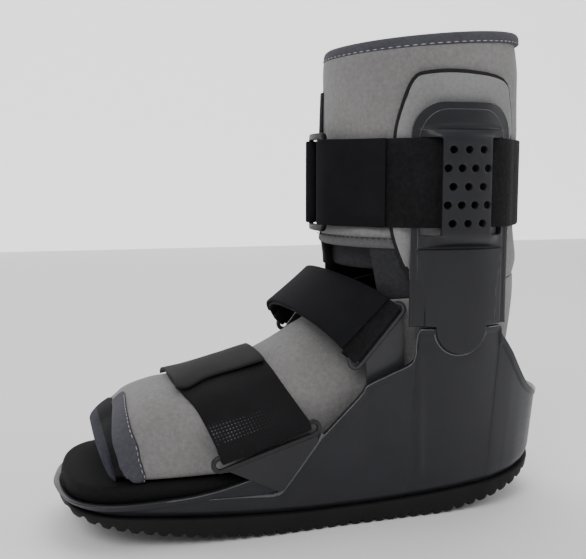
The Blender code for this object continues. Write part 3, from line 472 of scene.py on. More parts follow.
looks = {
    "shell": mouldedPlastic("shellCharcoal", (0.0092, 0.0092, 0.0125), (0.0180, 0.0180, 0.0235),
                            0.38, 0.04),
    "strut": mouldedPlastic("strutCharcoal", (0.0112, 0.0112, 0.0145), (0.0200, 0.0200, 0.0250),
                            0.38, 0.03),
    "ring": mouldedPlastic("ringCharcoal", (0.012, 0.012, 0.0135), (0.022, 0.022, 0.0245), 0.34, 0.04),
    "ringPale": mouldedPlastic("ringPale", (0.026, 0.026, 0.029), (0.044, 0.044, 0.048), 0.32, 0.04),
    "ringBlack": mouldedPlastic("ringBlack", (0.0035, 0.0035, 0.0040), (0.0080, 0.0080, 0.0090),
                                0.45, 0.0, 1.0, 0.1, 0.15),
    # lighter than the shell and glossier: the highlights along rims, lips and parting lines are painted into its
    # colour
    "edge": mouldedPlastic("edgePaintedHighlight", (0.030, 0.031, 0.036), (0.060, 0.062, 0.070),
                           0.24, 0.0, 1.0, 0.04, 0.9),
    "sole": mouldedPlastic("soleBlack", (0.0040, 0.0040, 0.0044), (0.0095, 0.0095, 0.0100),
                           0.62, 0.08, 0.6, 0.3, 0.2),
    "insole": pileFabric("insoleBlack", (0.0045, 0.0045, 0.0048), (0.0095, 0.0095, 0.0100),
                         1.2, 0.5, 0.0, 0.4, 0.0),
    "liner": pileFabric("linerGrey", (0.150, 0.146, 0.145), (0.235, 0.229, 0.227), 1.0, 0.5, 0.25),
    "lining": pileFabric("liningDark", (0.008, 0.008, 0.009), (0.018, 0.018, 0.020),
                         1.2, 0.5, 0.0, 0.4, 0.0),
    "hem": pileFabric("hemGrey", (0.072, 0.070, 0.074), (0.118, 0.114, 0.119), 1.3, 0.4, 0.1),
    "pad": pileFabric("padGrey", (0.185, 0.182, 0.182), (0.260, 0.256, 0.256), 1.3, 0.3, 0.0, 0.3),
    "padEdge": pileFabric("padEdgeDark", (0.010, 0.010, 0.011), (0.022, 0.022, 0.024),
                          1.2, 0.5, 0.0, 0.4, 0.0),
    "binding": pileFabric("bindingSlate", (0.044, 0.043, 0.054), (0.078, 0.076, 0.092),
                          1.2, 0.35, 0.15, 0.3, 0.05),
    # a darker copy of the slate binding: painted shade on the inner band that faces away under the near flap
    "bindingPaintedShade": pileFabric("bindingPaintedShade", (0.026, 0.025, 0.034), (0.050, 0.048, 0.064),
                             1.2, 0.35, 0.15, 0.3, 0.0),
    "tongue": pileFabric("tongueDark", (0.018, 0.018, 0.021), (0.038, 0.038, 0.042),
                         1.1, 0.45, 0.1, 0.4, 0.0),
    "thread": pileFabric("threadLight", (0.26, 0.26, 0.29), (0.42, 0.42, 0.46), 1.5, 0.3, 0.0, 0.2),
    "threadDark": pileFabric("threadDark", (0.012, 0.012, 0.014), (0.030, 0.030, 0.034),
                             1.5, 0.3, 0.0, 0.2, 0.0),
    "strap": webbing("strapSmooth", (0.0070, 0.0070, 0.0084), (0.0140, 0.0140, 0.0166),
                     0.0010, 0.0008, 0.2, 0.80, 0.35, 0.05),
    "loops": pileFabric("strapLoops", (0.0014, 0.0014, 0.0018), (0.0095, 0.0095, 0.0112),
                        0.75, 1.1, 0.5, 1.0, 0.03),
    "strapEnd": webbing("strapEndSheen", (0.0105, 0.0105, 0.0115), (0.0205, 0.0205, 0.0215),
                        0.0008, 0.0007, 0.15, 0.8, 0.2),
}
print("materials built")


# outsole: round-toothed ribs that follow the rocker line

sole = {
    "riseToe": 0.0195,
    "riseHeel": 0.0255,
    "curveToe": 2.2,
    "curveHeel": 1.55,
    "flatFront": -0.004,
    "flatRear": 0.066,
    "thick": 0.0115,           # under the arch, with what its top gains towards toe and heel
    "topToe": (0.0105, 1.3),
    "topHeel": (0.0165, 2.6),
    "ribPitch": 0.0075,
    "ribDepth": 0.0022,
    "ribFace": 0.5,            # share of the pitch on the ground
    "cornerRound": 0.0022,
    "proud": 0.0003,           # the tread stands past the shell's foot
    "lip": ((-0.0014, 0.0), (-0.0002, -0.0006), (0.0003, -0.0016)),
    "endSteps": (0.0, 0.0003, 0.0008),
    "perRib": 10,
}


def soleBottom(x):
    toe = (sole["flatFront"] - x) / (sole["flatFront"] - boot["toeX"])
    heel = (x - sole["flatRear"]) / (boot["heelX"] - sole["flatRear"])
    front = sole["riseToe"] * max(0.0, toe) ** sole["curveToe"]
    return front + sole["riseHeel"] * max(0.0, heel) ** sole["curveHeel"]


def soleTop(x):
    top = sole["thick"]
    toe = max(0.0, (sole["flatFront"] - x) / (sole["flatFront"] - boot["toeX"]))
    heel = max(0.0, (x - sole["flatFront"]) / (boot["heelX"] - sole["flatFront"]))
    for share, (gain, curve) in ((toe, sole["topToe"]), (heel, sole["topHeel"])):
        top += gain * share ** curve
    return top


def ribLift(x):
    # 0 on a rib's face, full depth between ribs; a rib face is centred on x = 0
    phase = abs((x / sole["ribPitch"] + 0.5) % 1.0 - 0.5) * 2
    return sole["ribDepth"] * ease(sole["ribFace"] - 0.12, 0.96, phase)


# shell: tub with a rolled rim, side ridges and the pocket round the toe ring

foreRows = [
    # rimX share, rimY share, rimZ share, baseX share, baseY share
    (0.000, 0.00, 0.232, 0.012, 0.00), (0.007, 0.25, 0.232, 0.020, 0.23), (0.020, 0.48, 0.232, 0.034, 0.46),
    (0.045, 0.68, 0.234, 0.060, 0.635), (0.090, 0.85, 0.236, 0.106, 0.80), (0.156, 0.94, 0.236, 0.166, 0.885),
    (0.241, 0.975, 0.240, 0.246, 0.92), (0.357, 1.00, 0.254, 0.357, 0.946), (0.437, 1.00, 0.275, 0.437, 0.946),
    (0.518, 1.00, 0.309, 0.518, 0.94), (0.618, 1.00, 0.382, 0.618, 0.92), (0.714, 1.00, 0.472, 0.714, 0.893),
    (0.779, 1.01, 0.575, 0.779, 0.875), (0.844, 1.02, 0.695, 0.844, 0.866), (0.862, 1.025, 0.730, 0.862, 0.863),
    (0.930, 1.045, 0.785, 0.930, 0.855), (0.985, 1.062, 0.824, 0.985, 0.848),
]
heelRows = [
    (0.075, 1.027, 0.918, 0.057, 0.82), (0.190, 0.972, 0.850, 0.150, 0.80), (0.300, 0.905, 0.781, 0.245, 0.777),
    (0.490, 0.775, 0.661, 0.415, 0.714), (0.700, 0.607, 0.597, 0.620, 0.571), (0.887, 0.340, 0.571, 0.810, 0.330),
    (1.000, 0.000, 0.567, 0.925, 0.000),
]
wingRows = [(0.0, 0.867), (0.012, 0.96), (0.04, 1.0), (0.96, 1.0), (0.985, 0.985), (1.0, 0.955)]

shell = {
    "wall": 0.0032,
    "wingFront": -23.3,        # degrees round the calf
    "wingRear": 25.5,
    "rimProud": 0.0006,
    "rimTop": 0.0007,          # rounding height of the rim's top
    "edgeLine": 0.00038,       # radius of the parting line, drawn lighter as a painted highlight
    # the rim's painted highlight line begins here, short of the toe
    "lineFrom": -0.098,
    "wallLevels": 22,
    "tabRadius": 0.0155,
    "ridge": ((0.0475, 0.107), (0.0545, 0.022)),
    "ridgeWide": 0.0022,
    "ridgeHigh": 0.0011,
    "footRound": 0.0030,       # how far the wall pulls in where it meets the sole, and how high that reaches
    "footHigh": 0.007,
    "border": 0.0052,          # height of the rim's border with its step, then its outline as drop and share
    "borderStep": ((0.0044, 0.0), (0.0040, 0.25), (0.0036, 0.8), (0.0031, 1.0), (0.0016, 1.0)),
    "notchEdge": (1.045, 0.0007),      # the notch's rolled edge: share of the tab's radius, own radius
}


def shellStations(steps=5):
    frontX = aroundCalf(shell["wingFront"], boot["strutOut"], 0).x
    rearX = aroundCalf(shell["wingRear"], boot["strutOut"], 0).x
    half = boot["halfWidth"]

    def placed(table, start, end):
        return [(start + rimS * (end - start), rimY * half, rimZ * boot["wingTop"],
                 start + baseS * (end - start), baseY * half) for rimS, rimY, rimZ, baseS, baseY in table]

    rows = placed(foreRows, boot["toeX"], frontX)
    for share, z in wingRows[:3] + [(i / 10, 1.0) for i in range(1, 10)] + wingRows[3:]:
        angle = radians(shell["wingFront"] + share * (shell["wingRear"] - shell["wingFront"]))
        x = boot["calfX"] + boot["strutOut"] * sin(angle)
        rows.append((x, boot["strutOut"] * cos(angle), z * boot["wingTop"], x, (0.845 - share * 0.02) * half))
    rows += placed(heelRows, rearX, boot["heelX"])
    mirror = (1, -1, 1, 1, -1)
    fine = smoothRows(rows, steps, np.array(rows[1]) * mirror, np.array(rows[-2]) * mirror)
    coarse = np.array(rows)
    fine[:, 2] = np.interp(np.arange(len(fine)) / steps, np.arange(len(coarse)), coarse[:, 2])
    fine[2:-2, 2] = np.convolve(fine[:, 2], np.array((1, 3, 4, 3, 1)) / 12, "valid")
    fine[:, (1, 4)] = np.maximum(0, fine[:, (1, 4)])
    return fine


def planNormal(stations, i, xColumn, yColumn):
    # outward direction in plan on the near side, where y is negative
    if i == 0:
        return Vector((-1, 0, 0))
    if i == len(stations) - 1:
        return Vector((1, 0, 0))
    dx = stations[i + 1][xColumn] - stations[i - 1][xColumn]
    dy = stations[i + 1][yColumn] - stations[i - 1][yColumn]
    return Vector((-dy, -dx, 0)).normalized()


def ridgeLift(x, z):
    (topX, topZ), (lowX, lowZ) = shell["ridge"]
    share = (z - lowZ) / (topZ - lowZ)
    away = (x - lowX - share * (topX - lowX)) / shell["ridgeWide"]
    fade = ease(-0.02, 0.15, share) * ease(1.03, 0.9, share)
    return shell["ridgeHigh"] * fade * 2.718 ** (-away * away)


def shellProfile(stations, i):
    # outside from the sole up, over the rim and down the inside, on the near side
    rimX, rimY, rimZ, baseX, baseY = stations[i]
    after, before = beside(stations, i)
    run = hypot(after[0] - before[0], after[1] - before[1])
    rise = abs(after[2] - before[2])
    steep = min(2.2, hypot(run, rise) / max(run, 1e-6))
    baseZ = soleTop(baseX) + boot["gap"]
    height = rimZ - baseZ
    out = planNormal(stations, i, 0, 1)
    outLow = planNormal(stations, i, 3, 4)
    band = min(shell["border"] * steep, 0.7 * height)
    rim = Vector((rimX, -rimY, rimZ))
    base = Vector((baseX, -baseY, baseZ))
    points = []
    for share in np.linspace(0, 1 - band / height, shell["wallLevels"]):
        point = base + (rim - base) * share
        tuck = shell["footRound"] * max(0.0, 1 - share * height / shell["footHigh"]) ** 2
        points.append(point - outLow * tuck + out * ridgeLift(point.x, point.z))
    for drop, proud in shell["borderStep"]:
        share = 1 - drop * band / shell["border"] / height
        points.append(base + (rim - base) * share + out * shell["rimProud"] * proud)
    half = (shell["wall"] + shell["rimProud"]) / 2
    roll = Vector((0, 0, shell["rimTop"]))
    centre = rim - roll + out * (shell["rimProud"] - half)
    points += [centre + out * half * squared(cos(turn), 0.6) + roll * sin(turn) for turn in np.arange(9) * pi / 8]
    floor = baseZ + shell["wall"]
    for share in np.arange(7, -1, -1) / 8:
        z = floor + (centre.z - floor) * share
        outside = base + (rim - base) * (z - baseZ) / height
        points.append(Vector((outside.x, outside.y, z)) - out * shell["wall"])
    return points


def sweepHalfRound(bm, path, normals, radii):
    rings = []
    for i, (point, normal, radius) in enumerate(zip(path, normals, radii)):
        after, before = beside(path, i)
        side = (after - before).normalized().cross(normal).normalized()
        rings.append([point + side * radius * cos(t) + normal * radius * sin(t) * 0.8
                      for t in np.linspace(-0.4, pi + 0.4, 9)])
    layFaces(bm, rings, closed=True, capped=True)


pocket = {
    "lip": ((-0.0085, 0.0590), (-0.0120, 0.0530), (-0.0300, 0.0285), (-0.0345, 0.0258), (-0.0395, 0.0254),
            (-0.0730, 0.0268)),       # x and z of the lip round the toe ring's pocket
    "lipRadius": 0.0012,
    "taper": (-0.060, -0.034),         # the lip thins out towards the toe
}


def buildShell():
    stations = shellStations()
    rows = []
    for i in range(len(stations)):
        near = shellProfile(stations, i)
        rows.append(near + farSide(near))
    bm = bmesh.new()
    layFaces(bm, rows, closed=True)
    piece = makePiece("shell_body", bm, [looks["shell"]], ("shell",), weld=2e-5)
    cutAway(piece, notchCutter())
    for polygon in piece.data.polygons:
        polygon.use_smooth = True
    piece.data.set_sharp_from_angle(angle=radians(35))
    return stations


def notchCutter():
    bm = bmesh.new()
    bmesh.ops.create_cone(bm, cap_ends=True, segments=72, radius1=shell["tabRadius"],
                          radius2=shell["tabRadius"], depth=4 * boot["halfWidth"])
    for vert in bm.verts:
        x, y, z = vert.co
        vert.co = Vector((boot["calfX"] + x, z, boot["wingTop"] + y))
    return makePiece("notchCutter", bm, [], weld=0, rides=False)


def wallAt(stations, x, z):
    # half width of the shell's outside at x and z along the sides
    shares = []
    for rimX, rimY, rimZ, baseX, baseY in stations:
        baseZ = soleTop(baseX) + boot["gap"]
        share = min(1.0, max(0.0, (z - baseZ) / (rimZ - baseZ)))
        shares.append((baseX + share * (rimX - baseX), baseY + share * (rimY - baseY)))
    shares.sort()
    return float(np.interp(x, [s[0] for s in shares], [s[1] for s in shares]))


def rimLines(stations):
    # parting line along the outside of the rim, before and behind the strut's notch
    lines = [[], []]
    for i, (rimX, rimY, rimZ) in enumerate(stations[:, :3]):
        inNotch = abs(rimX - boot["calfX"]) < shell["tabRadius"] + 0.0005
        if rimX > shell["lineFrom"] and rimY > 0.001 and not inNotch:
            proud = planNormal(stations, i, 0, 1) * shell["rimProud"] * 0.8
            lines[0 if rimX < boot["calfX"] else 1].append(Vector((rimX, -rimY, rimZ - 0.0006)) + proud)
    return lines


def buildShellTrim(stations):
    # raised lip of the pocket that the toe ring's plate lies in, the rolled edge of each strut notch and the
    # rim's parting lines, all in the lighter edge material as a painted highlight
    bm = bmesh.new()
    path = []
    normals = []
    for x, z in smoothRows(pocket["lip"], 6):
        slope = (wallAt(stations, x, z + 0.002) - wallAt(stations, x, z - 0.002)) / 0.004
        path.append(Vector((x, -wallAt(stations, x, z) - 0.0002, z)))
        normals.append(Vector((0, -1, slope)).normalized())
    taper = [pocket["lipRadius"] * (0.25 + 0.75 * ease(*pocket["taper"], point.x)) for point in path]
    sweepHalfRound(bm, path, normals, taper)
    share, radius = shell["notchEdge"]
    rim = []
    for turn in np.radians(np.linspace(-84, 84, 41)):
        x = boot["calfX"] + shell["tabRadius"] * share * sin(turn)
        z = boot["wingTop"] - shell["tabRadius"] * share * cos(turn)
        rim.append(Vector((x, -wallAt(stations, x, z), z)))
    rimNormals = [Vector(((spot.x - boot["calfX"]) / boot["linerRadius"], -1, 0)).normalized() for spot in rim]
    sweepHalfRound(bm, rim, rimNormals, [radius] * len(rim))
    for path in rimLines(stations):
        sweepTube(bm, path, (shell["edgeLine"], shell["edgeLine"]), sides=6)
    mirrorInto(bm)
    makePiece("shell_trim", bm, [looks["edge"]])


def buildOutsole(stations):
    base = np.array([(station[3], station[4]) for station in stations])
    start = base[0, 0] + 0.0002
    end = base[-1, 0] - 0.0002
    places = [start + d for d in sole["endSteps"]]
    places += list(np.arange(start + 0.0016, end - 0.0016, sole["ribPitch"] / sole["perRib"]))
    places += [end - d for d in reversed(sole["endSteps"])]
    rows = []
    for x in places:
        half = float(np.interp(x, base[:, 0], base[:, 1]))
        low = soleBottom(x) + ribLift(x)
        high = soleTop(x)
        r = min(sole["cornerRound"], half * 0.5, (high - low) * 0.4)
        side = half + sole["proud"]
        section = [(half + out, high + up) for out, up in sole["lip"]] + [(side, (high + low) / 2)]
        section += [(side - r + r * cos(radians(a)), low + r - r * sin(radians(a))) for a in (0, 30, 60, 90)]
        section += [(half * 0.6, low), (half * 0.2, low)]
        near = [Vector((x, -y, z)) for y, z in section]
        rows.append(near + farSide(near))
    bm = bmesh.new()
    layFaces(bm, rows, closed=True, capped=True)
    makePiece("outsole_tread", bm, [looks["sole"]], ("outsole",), crease=50)


footbed = {
    "clear": 0.0008,           # room to the shell's inside
    "edge": ((0.0, -0.009), (0.0, -0.003), (0.0004, -0.0012), (0.0014, -0.0003), (0.003, 0.0), (0.011, -0.0003)),
}


def buildInsole(stations):
    # black foam footbed that stands above the rim
    rows = []
    for index in range(0, len(stations), 2):
        out = planNormal(stations, index, 0, 1)
        rimX, rimY, rimZ, baseX, baseY = stations[index]
        baseZ = soleTop(baseX)
        share = min(1.0, (boot["insoleTop"] - baseZ) / (rimZ - baseZ))
        edge = Vector((baseX + share * (rimX - baseX), -(baseY + share * (rimY - baseY)), 0))
        edge -= out * (shell["wall"] + footbed["clear"])
        near = []
        for inset, drop in footbed["edge"]:
            point = edge - out * inset
            near.append(Vector((point.x, min(0.0, point.y), boot["insoleTop"] + drop)))
        rows.append(near + farSide(near))
    bm = bmesh.new()
    layFaces(bm, rows, closed=True)
    makePiece("footbed", bm, [looks["insole"]], ("insole_pad",), weld=2e-5)


stations = buildShell()
buildShellTrim(stations)
buildOutsole(stations)
buildInsole(stations)
print("shell, sole and footbed built")


# padded liner

cloth = {
    "steps": 20,
    "quality": 6,
    "mass": 0.2,
    "stretch": 8,
    "bend": 2,
    "pressure": 4.0,
    "footCap": 0.0014,         # how far a point may move
    "calfCap": 0.0016,
}


def puff(name, rows, held, cap):
    # inflates an open quilted tube by cloth simulation; held gives 1 where it is sewn or strapped down
    bm = bmesh.new()
    layFaces(bm, rows, closed=True)
    for face in bm.faces:
        face.normal_flip()
    mesh = bpy.data.meshes.new(name)
    bm.verts.index_update()
    bm.to_mesh(mesh)
    bm.free()
    trial = bpy.data.objects.new(name, mesh)
    bpy.context.scene.collection.objects.link(trial)
    pins = trial.vertex_groups.new(name="sewn")
    width = len(rows[0])
    for r in range(len(rows)):
        for i in range(width):
            pins.add([r * width + i], held(r, i), "REPLACE")
    centre = sum((v.co for v in mesh.vertices), Vector()) / len(mesh.vertices)
    middle = mesh.polygons[len(mesh.polygons) // 2]
    if middle.normal.dot(middle.center - centre) < 0:
        mesh.flip_normals()
    mod = trial.modifiers.new("Cloth", "CLOTH")
    mod.settings.quality = cloth["quality"]
    mod.settings.mass = cloth["mass"]
    mod.settings.tension_stiffness = cloth["stretch"]
    mod.settings.compression_stiffness = cloth["stretch"]
    mod.settings.bending_stiffness = cloth["bend"]
    mod.settings.use_pressure = True
    mod.settings.uniform_pressure_force = cloth["pressure"]
    mod.settings.vertex_group_mass = "sewn"
    mod.settings.effector_weights.gravity = 0
    mod.point_cache.frame_start = 1
    mod.point_cache.frame_end = cloth["steps"]
    scene = bpy.context.scene
    for number in range(1, cloth["steps"] + 1):
        scene.frame_set(number)
    made = trial.evaluated_get(bpy.context.evaluated_depsgraph_get()).to_mesh()
    out = []
    moved = 0.0
    for r, row in enumerate(rows):
        line = []
        for i, point in enumerate(row):
            shift = made.vertices[r * width + i].co - point
            if shift.length > cap:
                shift = shift.normalized() * cap
            moved = max(moved, shift.length)
            line.append(point + shift)
        out.append(line)
    print("  %s swelled by up to %.1f mm" % (name, moved * 1000))
    bpy.data.objects.remove(trial)
    scene.frame_set(1)
    return out


footRows = [
    # topX, topZ, lowX, lowZ, half width, box; shares as in the frame's liner_foot
    (0.100, 0.222, 0.140, 0.000, 0.90, 0.78), (0.124, 0.268, 0.148, 0.000, 0.92, 0.73),
    (0.156, 0.315, 0.165, 0.000, 0.94, 0.67), (0.196, 0.376, 0.205, 0.000, 0.96, 0.62),
    (0.258, 0.415, 0.262, 0.000, 0.99, 0.60), (0.350, 0.455, 0.370, 0.000, 1.00, 0.60),
    (0.462, 0.512, 0.495, 0.000, 0.98, 0.60), (0.550, 0.566, 0.628, 0.000, 0.95, 0.62),
    (0.615, 0.640, 0.780, 0.000, 0.925, 0.65), (0.650, 0.695, 0.950, 0.000, 0.92, 0.70),
    (0.674, 0.730, 1.115, 0.012, 0.925, 0.80), (0.695, 0.765, 1.215, 0.140, 0.955, 0.90),
    (0.712, 0.795, 1.252, 0.440, 0.98, 0.98),
]

foot = {
    "halfWidth": 0.049,
    "sides": 64,
    "bandRows": 2,             # table rows that the toe binding takes
    "sewnTurn": 118,           # sewn down from here round the underside
    "strapped": (4.2, 7.0, 100),       # held under the toe strap: rows and degrees
    "inShell": (8.6, 60),      # held between shell and foot
    "flapRow": 5.6,            # the far flap laps over the near one from this row up
    "strapDent": (4.2, 4.5, 6.8, 7.2),         # rows where the strap's dent begins and ends
    "flapTurn": 13.0,          # degrees from the top where the near flap's edge runs
    "flapStep": 0.0009,
    "collarUpright": 0.010,
    "underBox": 0.30,          # the forefoot's underside is squarer than its top
    "underEase": (-0.03, 0.02),
    "dent": 0.0009,            # the toe strap sinks into the padding
}


def footSections():
    rows = []
    floor = boot["insoleTop"] + boot["gap"]
    height = boot["collarBack"] - floor
    span = boot["calfX"] - boot["toeX"]
    for topX, topZ, lowX, lowZ, half, box in footRows:
        rows.append((boot["toeX"] + topX * span, floor + topZ * height, boot["toeX"] + lowX * span,
                     floor + lowZ * height, half * foot["halfWidth"], box))
    for drop in (foot["collarUpright"], 0.0):
        rows.append((boot["calfX"] - boot["linerRadius"], boot["collarFront"] - drop / 2,
                     boot["calfX"] + boot["linerRadius"], boot["collarBack"] - drop, boot["linerRadius"], 1.0))
    return rows


def footSectionAt(u):
    rows = footSections()
    i = min(int(u), len(rows) - 2)
    return np.array(rows[i]) + (u - i) * (np.array(rows[i + 1]) - np.array(rows[i]))


def footPoint(section, turn, out=0.0):         # turn 0 is the top, 90 the near side
    topX, topZ, lowX, lowZ, half, box = section
    middle = Vector(((topX + lowX) / 2, 0, (topZ + lowZ) / 2))
    up = Vector((topX - lowX, 0, topZ - lowZ)) / 2
    rise = up.length + out
    up.normalize()
    c = cos(radians(turn))
    flat = foot["underBox"] + (1 - foot["underBox"]) * ease(*foot["underEase"], lowX)
    power = box * flat if c < 0 else (1 + box) / 2
    side = Vector((0, 1, 0)) * (half + out) * squared(sin(radians(turn)), power)
    point = middle + up * rise * squared(c, power) - side
    point.z = max(point.z, boot["insoleTop"] + boot["gap"])
    return point


backLine = {       # back outline of the liner against its plain radius
    "heights": (0.085, 0.105, 0.127, 0.1415, 0.1516, 0.170, 0.222, 0.268, 0.290),
    "proud": (0.0, 0.0012, 0.0018, -0.0008, 0.0016, -0.0008, 0.0, -0.0010, -0.0016),
}


def heelBulge(z):
    return float(np.interp(z, backLine["heights"], backLine["proud"]))


def footOutside(first, last, steps):
    sections = smoothRows(footSections(), steps)[first * steps:last * steps + 1]
    sections[:, 2] = np.minimum(sections[:, 2], boot["calfX"] + boot["linerRadius"])
    sections[:, 4] = np.minimum(sections[:, 4], boot["linerRadius"])
    turns = [360 * i / foot["sides"] for i in range(foot["sides"])]
    return [[footPoint(section, turn) for turn in turns] for section in sections]


def inwards(rows, distance):
    # each row pulled in towards its own middle by a wall thickness
    out = []
    floor = boot["insoleTop"] + boot["gap"] + distance
    for row in rows:
        middle = sum(row, Vector()) / len(row)
        moved = []
        for point in row:
            away = point - middle
            reach = away.length
            moved.append(middle + away * max(0.05, (reach - distance) / reach))
            moved[-1].z = max(moved[-1].z, floor)
        out.append(moved)
    return out


def closedWall(bm, outer, inner):
    # tube wall with rounded ends, the inside in the second material
    ends = []
    for row, inside, beyond in ((outer[0], inner[0], outer[1]), (outer[-1], inner[-1], outer[-2])):
        lip = []
        for a, b, c in zip(row, inside, beyond):
            out = (a - c).normalized() * 0.0012
            lip.append((a.lerp(b, 0.18) + out, a.lerp(b, 0.5) + out * 1.5, a.lerp(b, 0.82) + out))
        ends.append([[item[k] for item in lip] for k in range(3)])
    layFaces(bm, outer, closed=True)
    layFaces(bm, [outer[-1], *ends[1], inner[-1]], closed=True)
    layFaces(bm, inner[::-1], closed=True, materialIndex=1)
    layFaces(bm, [inner[0], *ends[0][::-1], outer[0]], closed=True, materialIndex=1)


def buildFootLiner(steps=4):
    count = len(footSections()) - 1
    plain = footOutside(foot["bandRows"], count, steps)

    def held(r, i):
        u = foot["bandRows"] + r / steps
        turn = 360 * i / foot["sides"]
        turn = turn if turn <= 180 else 360 - turn
        low, high, side = foot["strapped"]
        wedged, wedgedTurn = foot["inShell"]
        strapped = low < u < high and turn < side
        sewn = r in (0, len(plain) - 1) or turn > foot["sewnTurn"]
        return float(sewn or strapped or (u > wedged and turn > wedgedTurn))

    dentStart, dentIn, dentOut, dentEnd = foot["strapDent"]
    flapTurn = foot["flapTurn"]
    shaped = []
    for r, row in enumerate(puff("footTrial", plain, held, cloth["footCap"])):
        u = foot["bandRows"] + r / steps
        line = []
        middle = sum(row, Vector()) / len(row)
        for i, point in enumerate(row):
            turn = 360 * i / foot["sides"]
            signed = turn if turn <= 180 else turn - 360
            push = 0.0004 * noise.noise(point * 55) if abs(signed) < 110 else 0.0
            if u > foot["flapRow"]:
                push += foot["flapStep"] * ease(flapTurn + 3, flapTurn - 3, signed) * ease(-110, -90, signed)
            under = ease(dentStart, dentIn, u) * ease(dentEnd, dentOut, u)
            push -= foot["dent"] * under * ease(80, 66, abs(signed))
            push += heelBulge(point.z) * ease(0.05, 0.058, point.x - boot["calfX"])
            line.append(point + (point - middle).normalized() * push)
        shaped.append(line)
    inner = inwards(plain, boot["linerWall"])
    for r in range(3):                         # the front end is tucked under the toe binding
        shaped[r] = [a.lerp(b, 0.16) for a, b in zip(shaped[r], inner[r])]
        inner[r] = [b.lerp(a, 0.16) for a, b in zip(shaped[r], inner[r])]
    bm = bmesh.new()
    closedWall(bm, shaped, inner)
    makePiece("foot_liner", bm, [looks["liner"], looks["lining"]], ("liner_foot",), rounds=1)


def stitchRow(bm, path, normals, pitch, length, radius, lift, skip=0.0):
    # separate thread dashes laid along a seam, some left out
    spans = [(b - a).length for a, b in zip(path, path[1:])]
    starts = np.concatenate([[0.0], np.cumsum(spans)])
    points = np.array([list(p) for p in path])
    ups = np.array([list(n) for n in normals])
    reached = 0.0
    number = 0
    while reached + length < sum(spans):
        number += 1
        if noise.noise(Vector((number * 0.37, skip * 10, 0))) * 0.5 + 0.5 >= skip:
            line = []
            for share in (0.0, 0.12, 0.35, 0.65, 0.88, 1.0):
                s = reached + share * length
                place = Vector([np.interp(s, starts, points[:, k]) for k in range(3)])
                up = Vector([np.interp(s, starts, ups[:, k]) for k in range(3)]).normalized()
                bow = sin(pi * share)
                line.append((place + up * (lift + radius * 0.6 * bow), up, 0.35 + 0.65 * bow))
            rings = []
            for k, (place, up, size) in enumerate(line):
                after, before = beside(line, k)
                side = (after[0] - before[0]).normalized().cross(up).normalized()
                rings.append([place + (side * cos(t) + up * sin(t)) * radius * size
                              for t in np.arange(6) * pi / 3])
            layFaces(bm, rings, closed=True, capped=True)
        reached += pitch


toeFlap = {
    "turns": (0, 25, 60, 90, 94, 102, 130, 180),       # degrees round the foot, from the top down the near side
    "lip": (1.90, 1.60, 1.25, 1.42, 1.70, 2.20, 2.55, 2.75),   # front edge, in rows of the foot table
    "seam": (2.75, 2.60, 2.62, 2.90, 3.02, 3.12, 3.08, 2.98),
    "proud": (0.0012, 0.0022, 0.0034, 0.0037, 0.0036, 0.0034, 0.0020, 0.0004),
    "places": ((-7, 84, 30), (86, 98, 16), (101, 168, 14)),
    "seamProud": 0.0010,
    "thick": 0.0022,
    "hollow": 0.0030,          # how far the ring sinks under the flap
    "hollowTurns": (-4, 14, 150, 172),
    "hollowRows": (0.2, 0.7),
    # degrees round the foot where the ring's outside is painted in shade with the lining
    "paintedShadeTurns": (-44, 166),
}


def bindingRing(steps):
    # inner band: a full ring with a rolled front edge
    rows = footOutside(0, foot["bandRows"], steps)
    inner = inwards(rows, boot["linerWall"])
    last = len(rows) - 1
    sections = []
    for i in range(foot["sides"]):
        column = [row[i] for row in rows]
        inside = [row[i] for row in inner]
        swell = 0.0008 + 0.0004 * noise.noise(Vector((i * 0.28, 1.7, 0.0)))
        turn = (360 * i / foot["sides"] + 90) % 360 - 90
        a, b, c, d = toeFlap["hollowTurns"]
        hollow = toeFlap["hollow"] * ease(a, b, turn) * ease(d, c, turn)
        section = []
        for k in range(last, -1, -2):
            out = (column[k] - inside[k]).normalized()
            sink = hollow * ease(*toeFlap["hollowRows"], k / steps)
            section.append(column[k] + out * (swell * sin(pi * (0.88 - 0.76 * k / last)) - sink))
        lip = (column[0] - column[2]).normalized()
        for share, reach in ((0.12, 0.0012), (0.32, 0.0020), (0.5, 0.0023), (0.7, 0.0019), (0.9, 0.0010)):
            section.append(column[0].lerp(inside[0], share) + lip * reach)
        section += [inside[k] for k in range(0, last + 1, 3)]
        sections.append(section)
    return sections


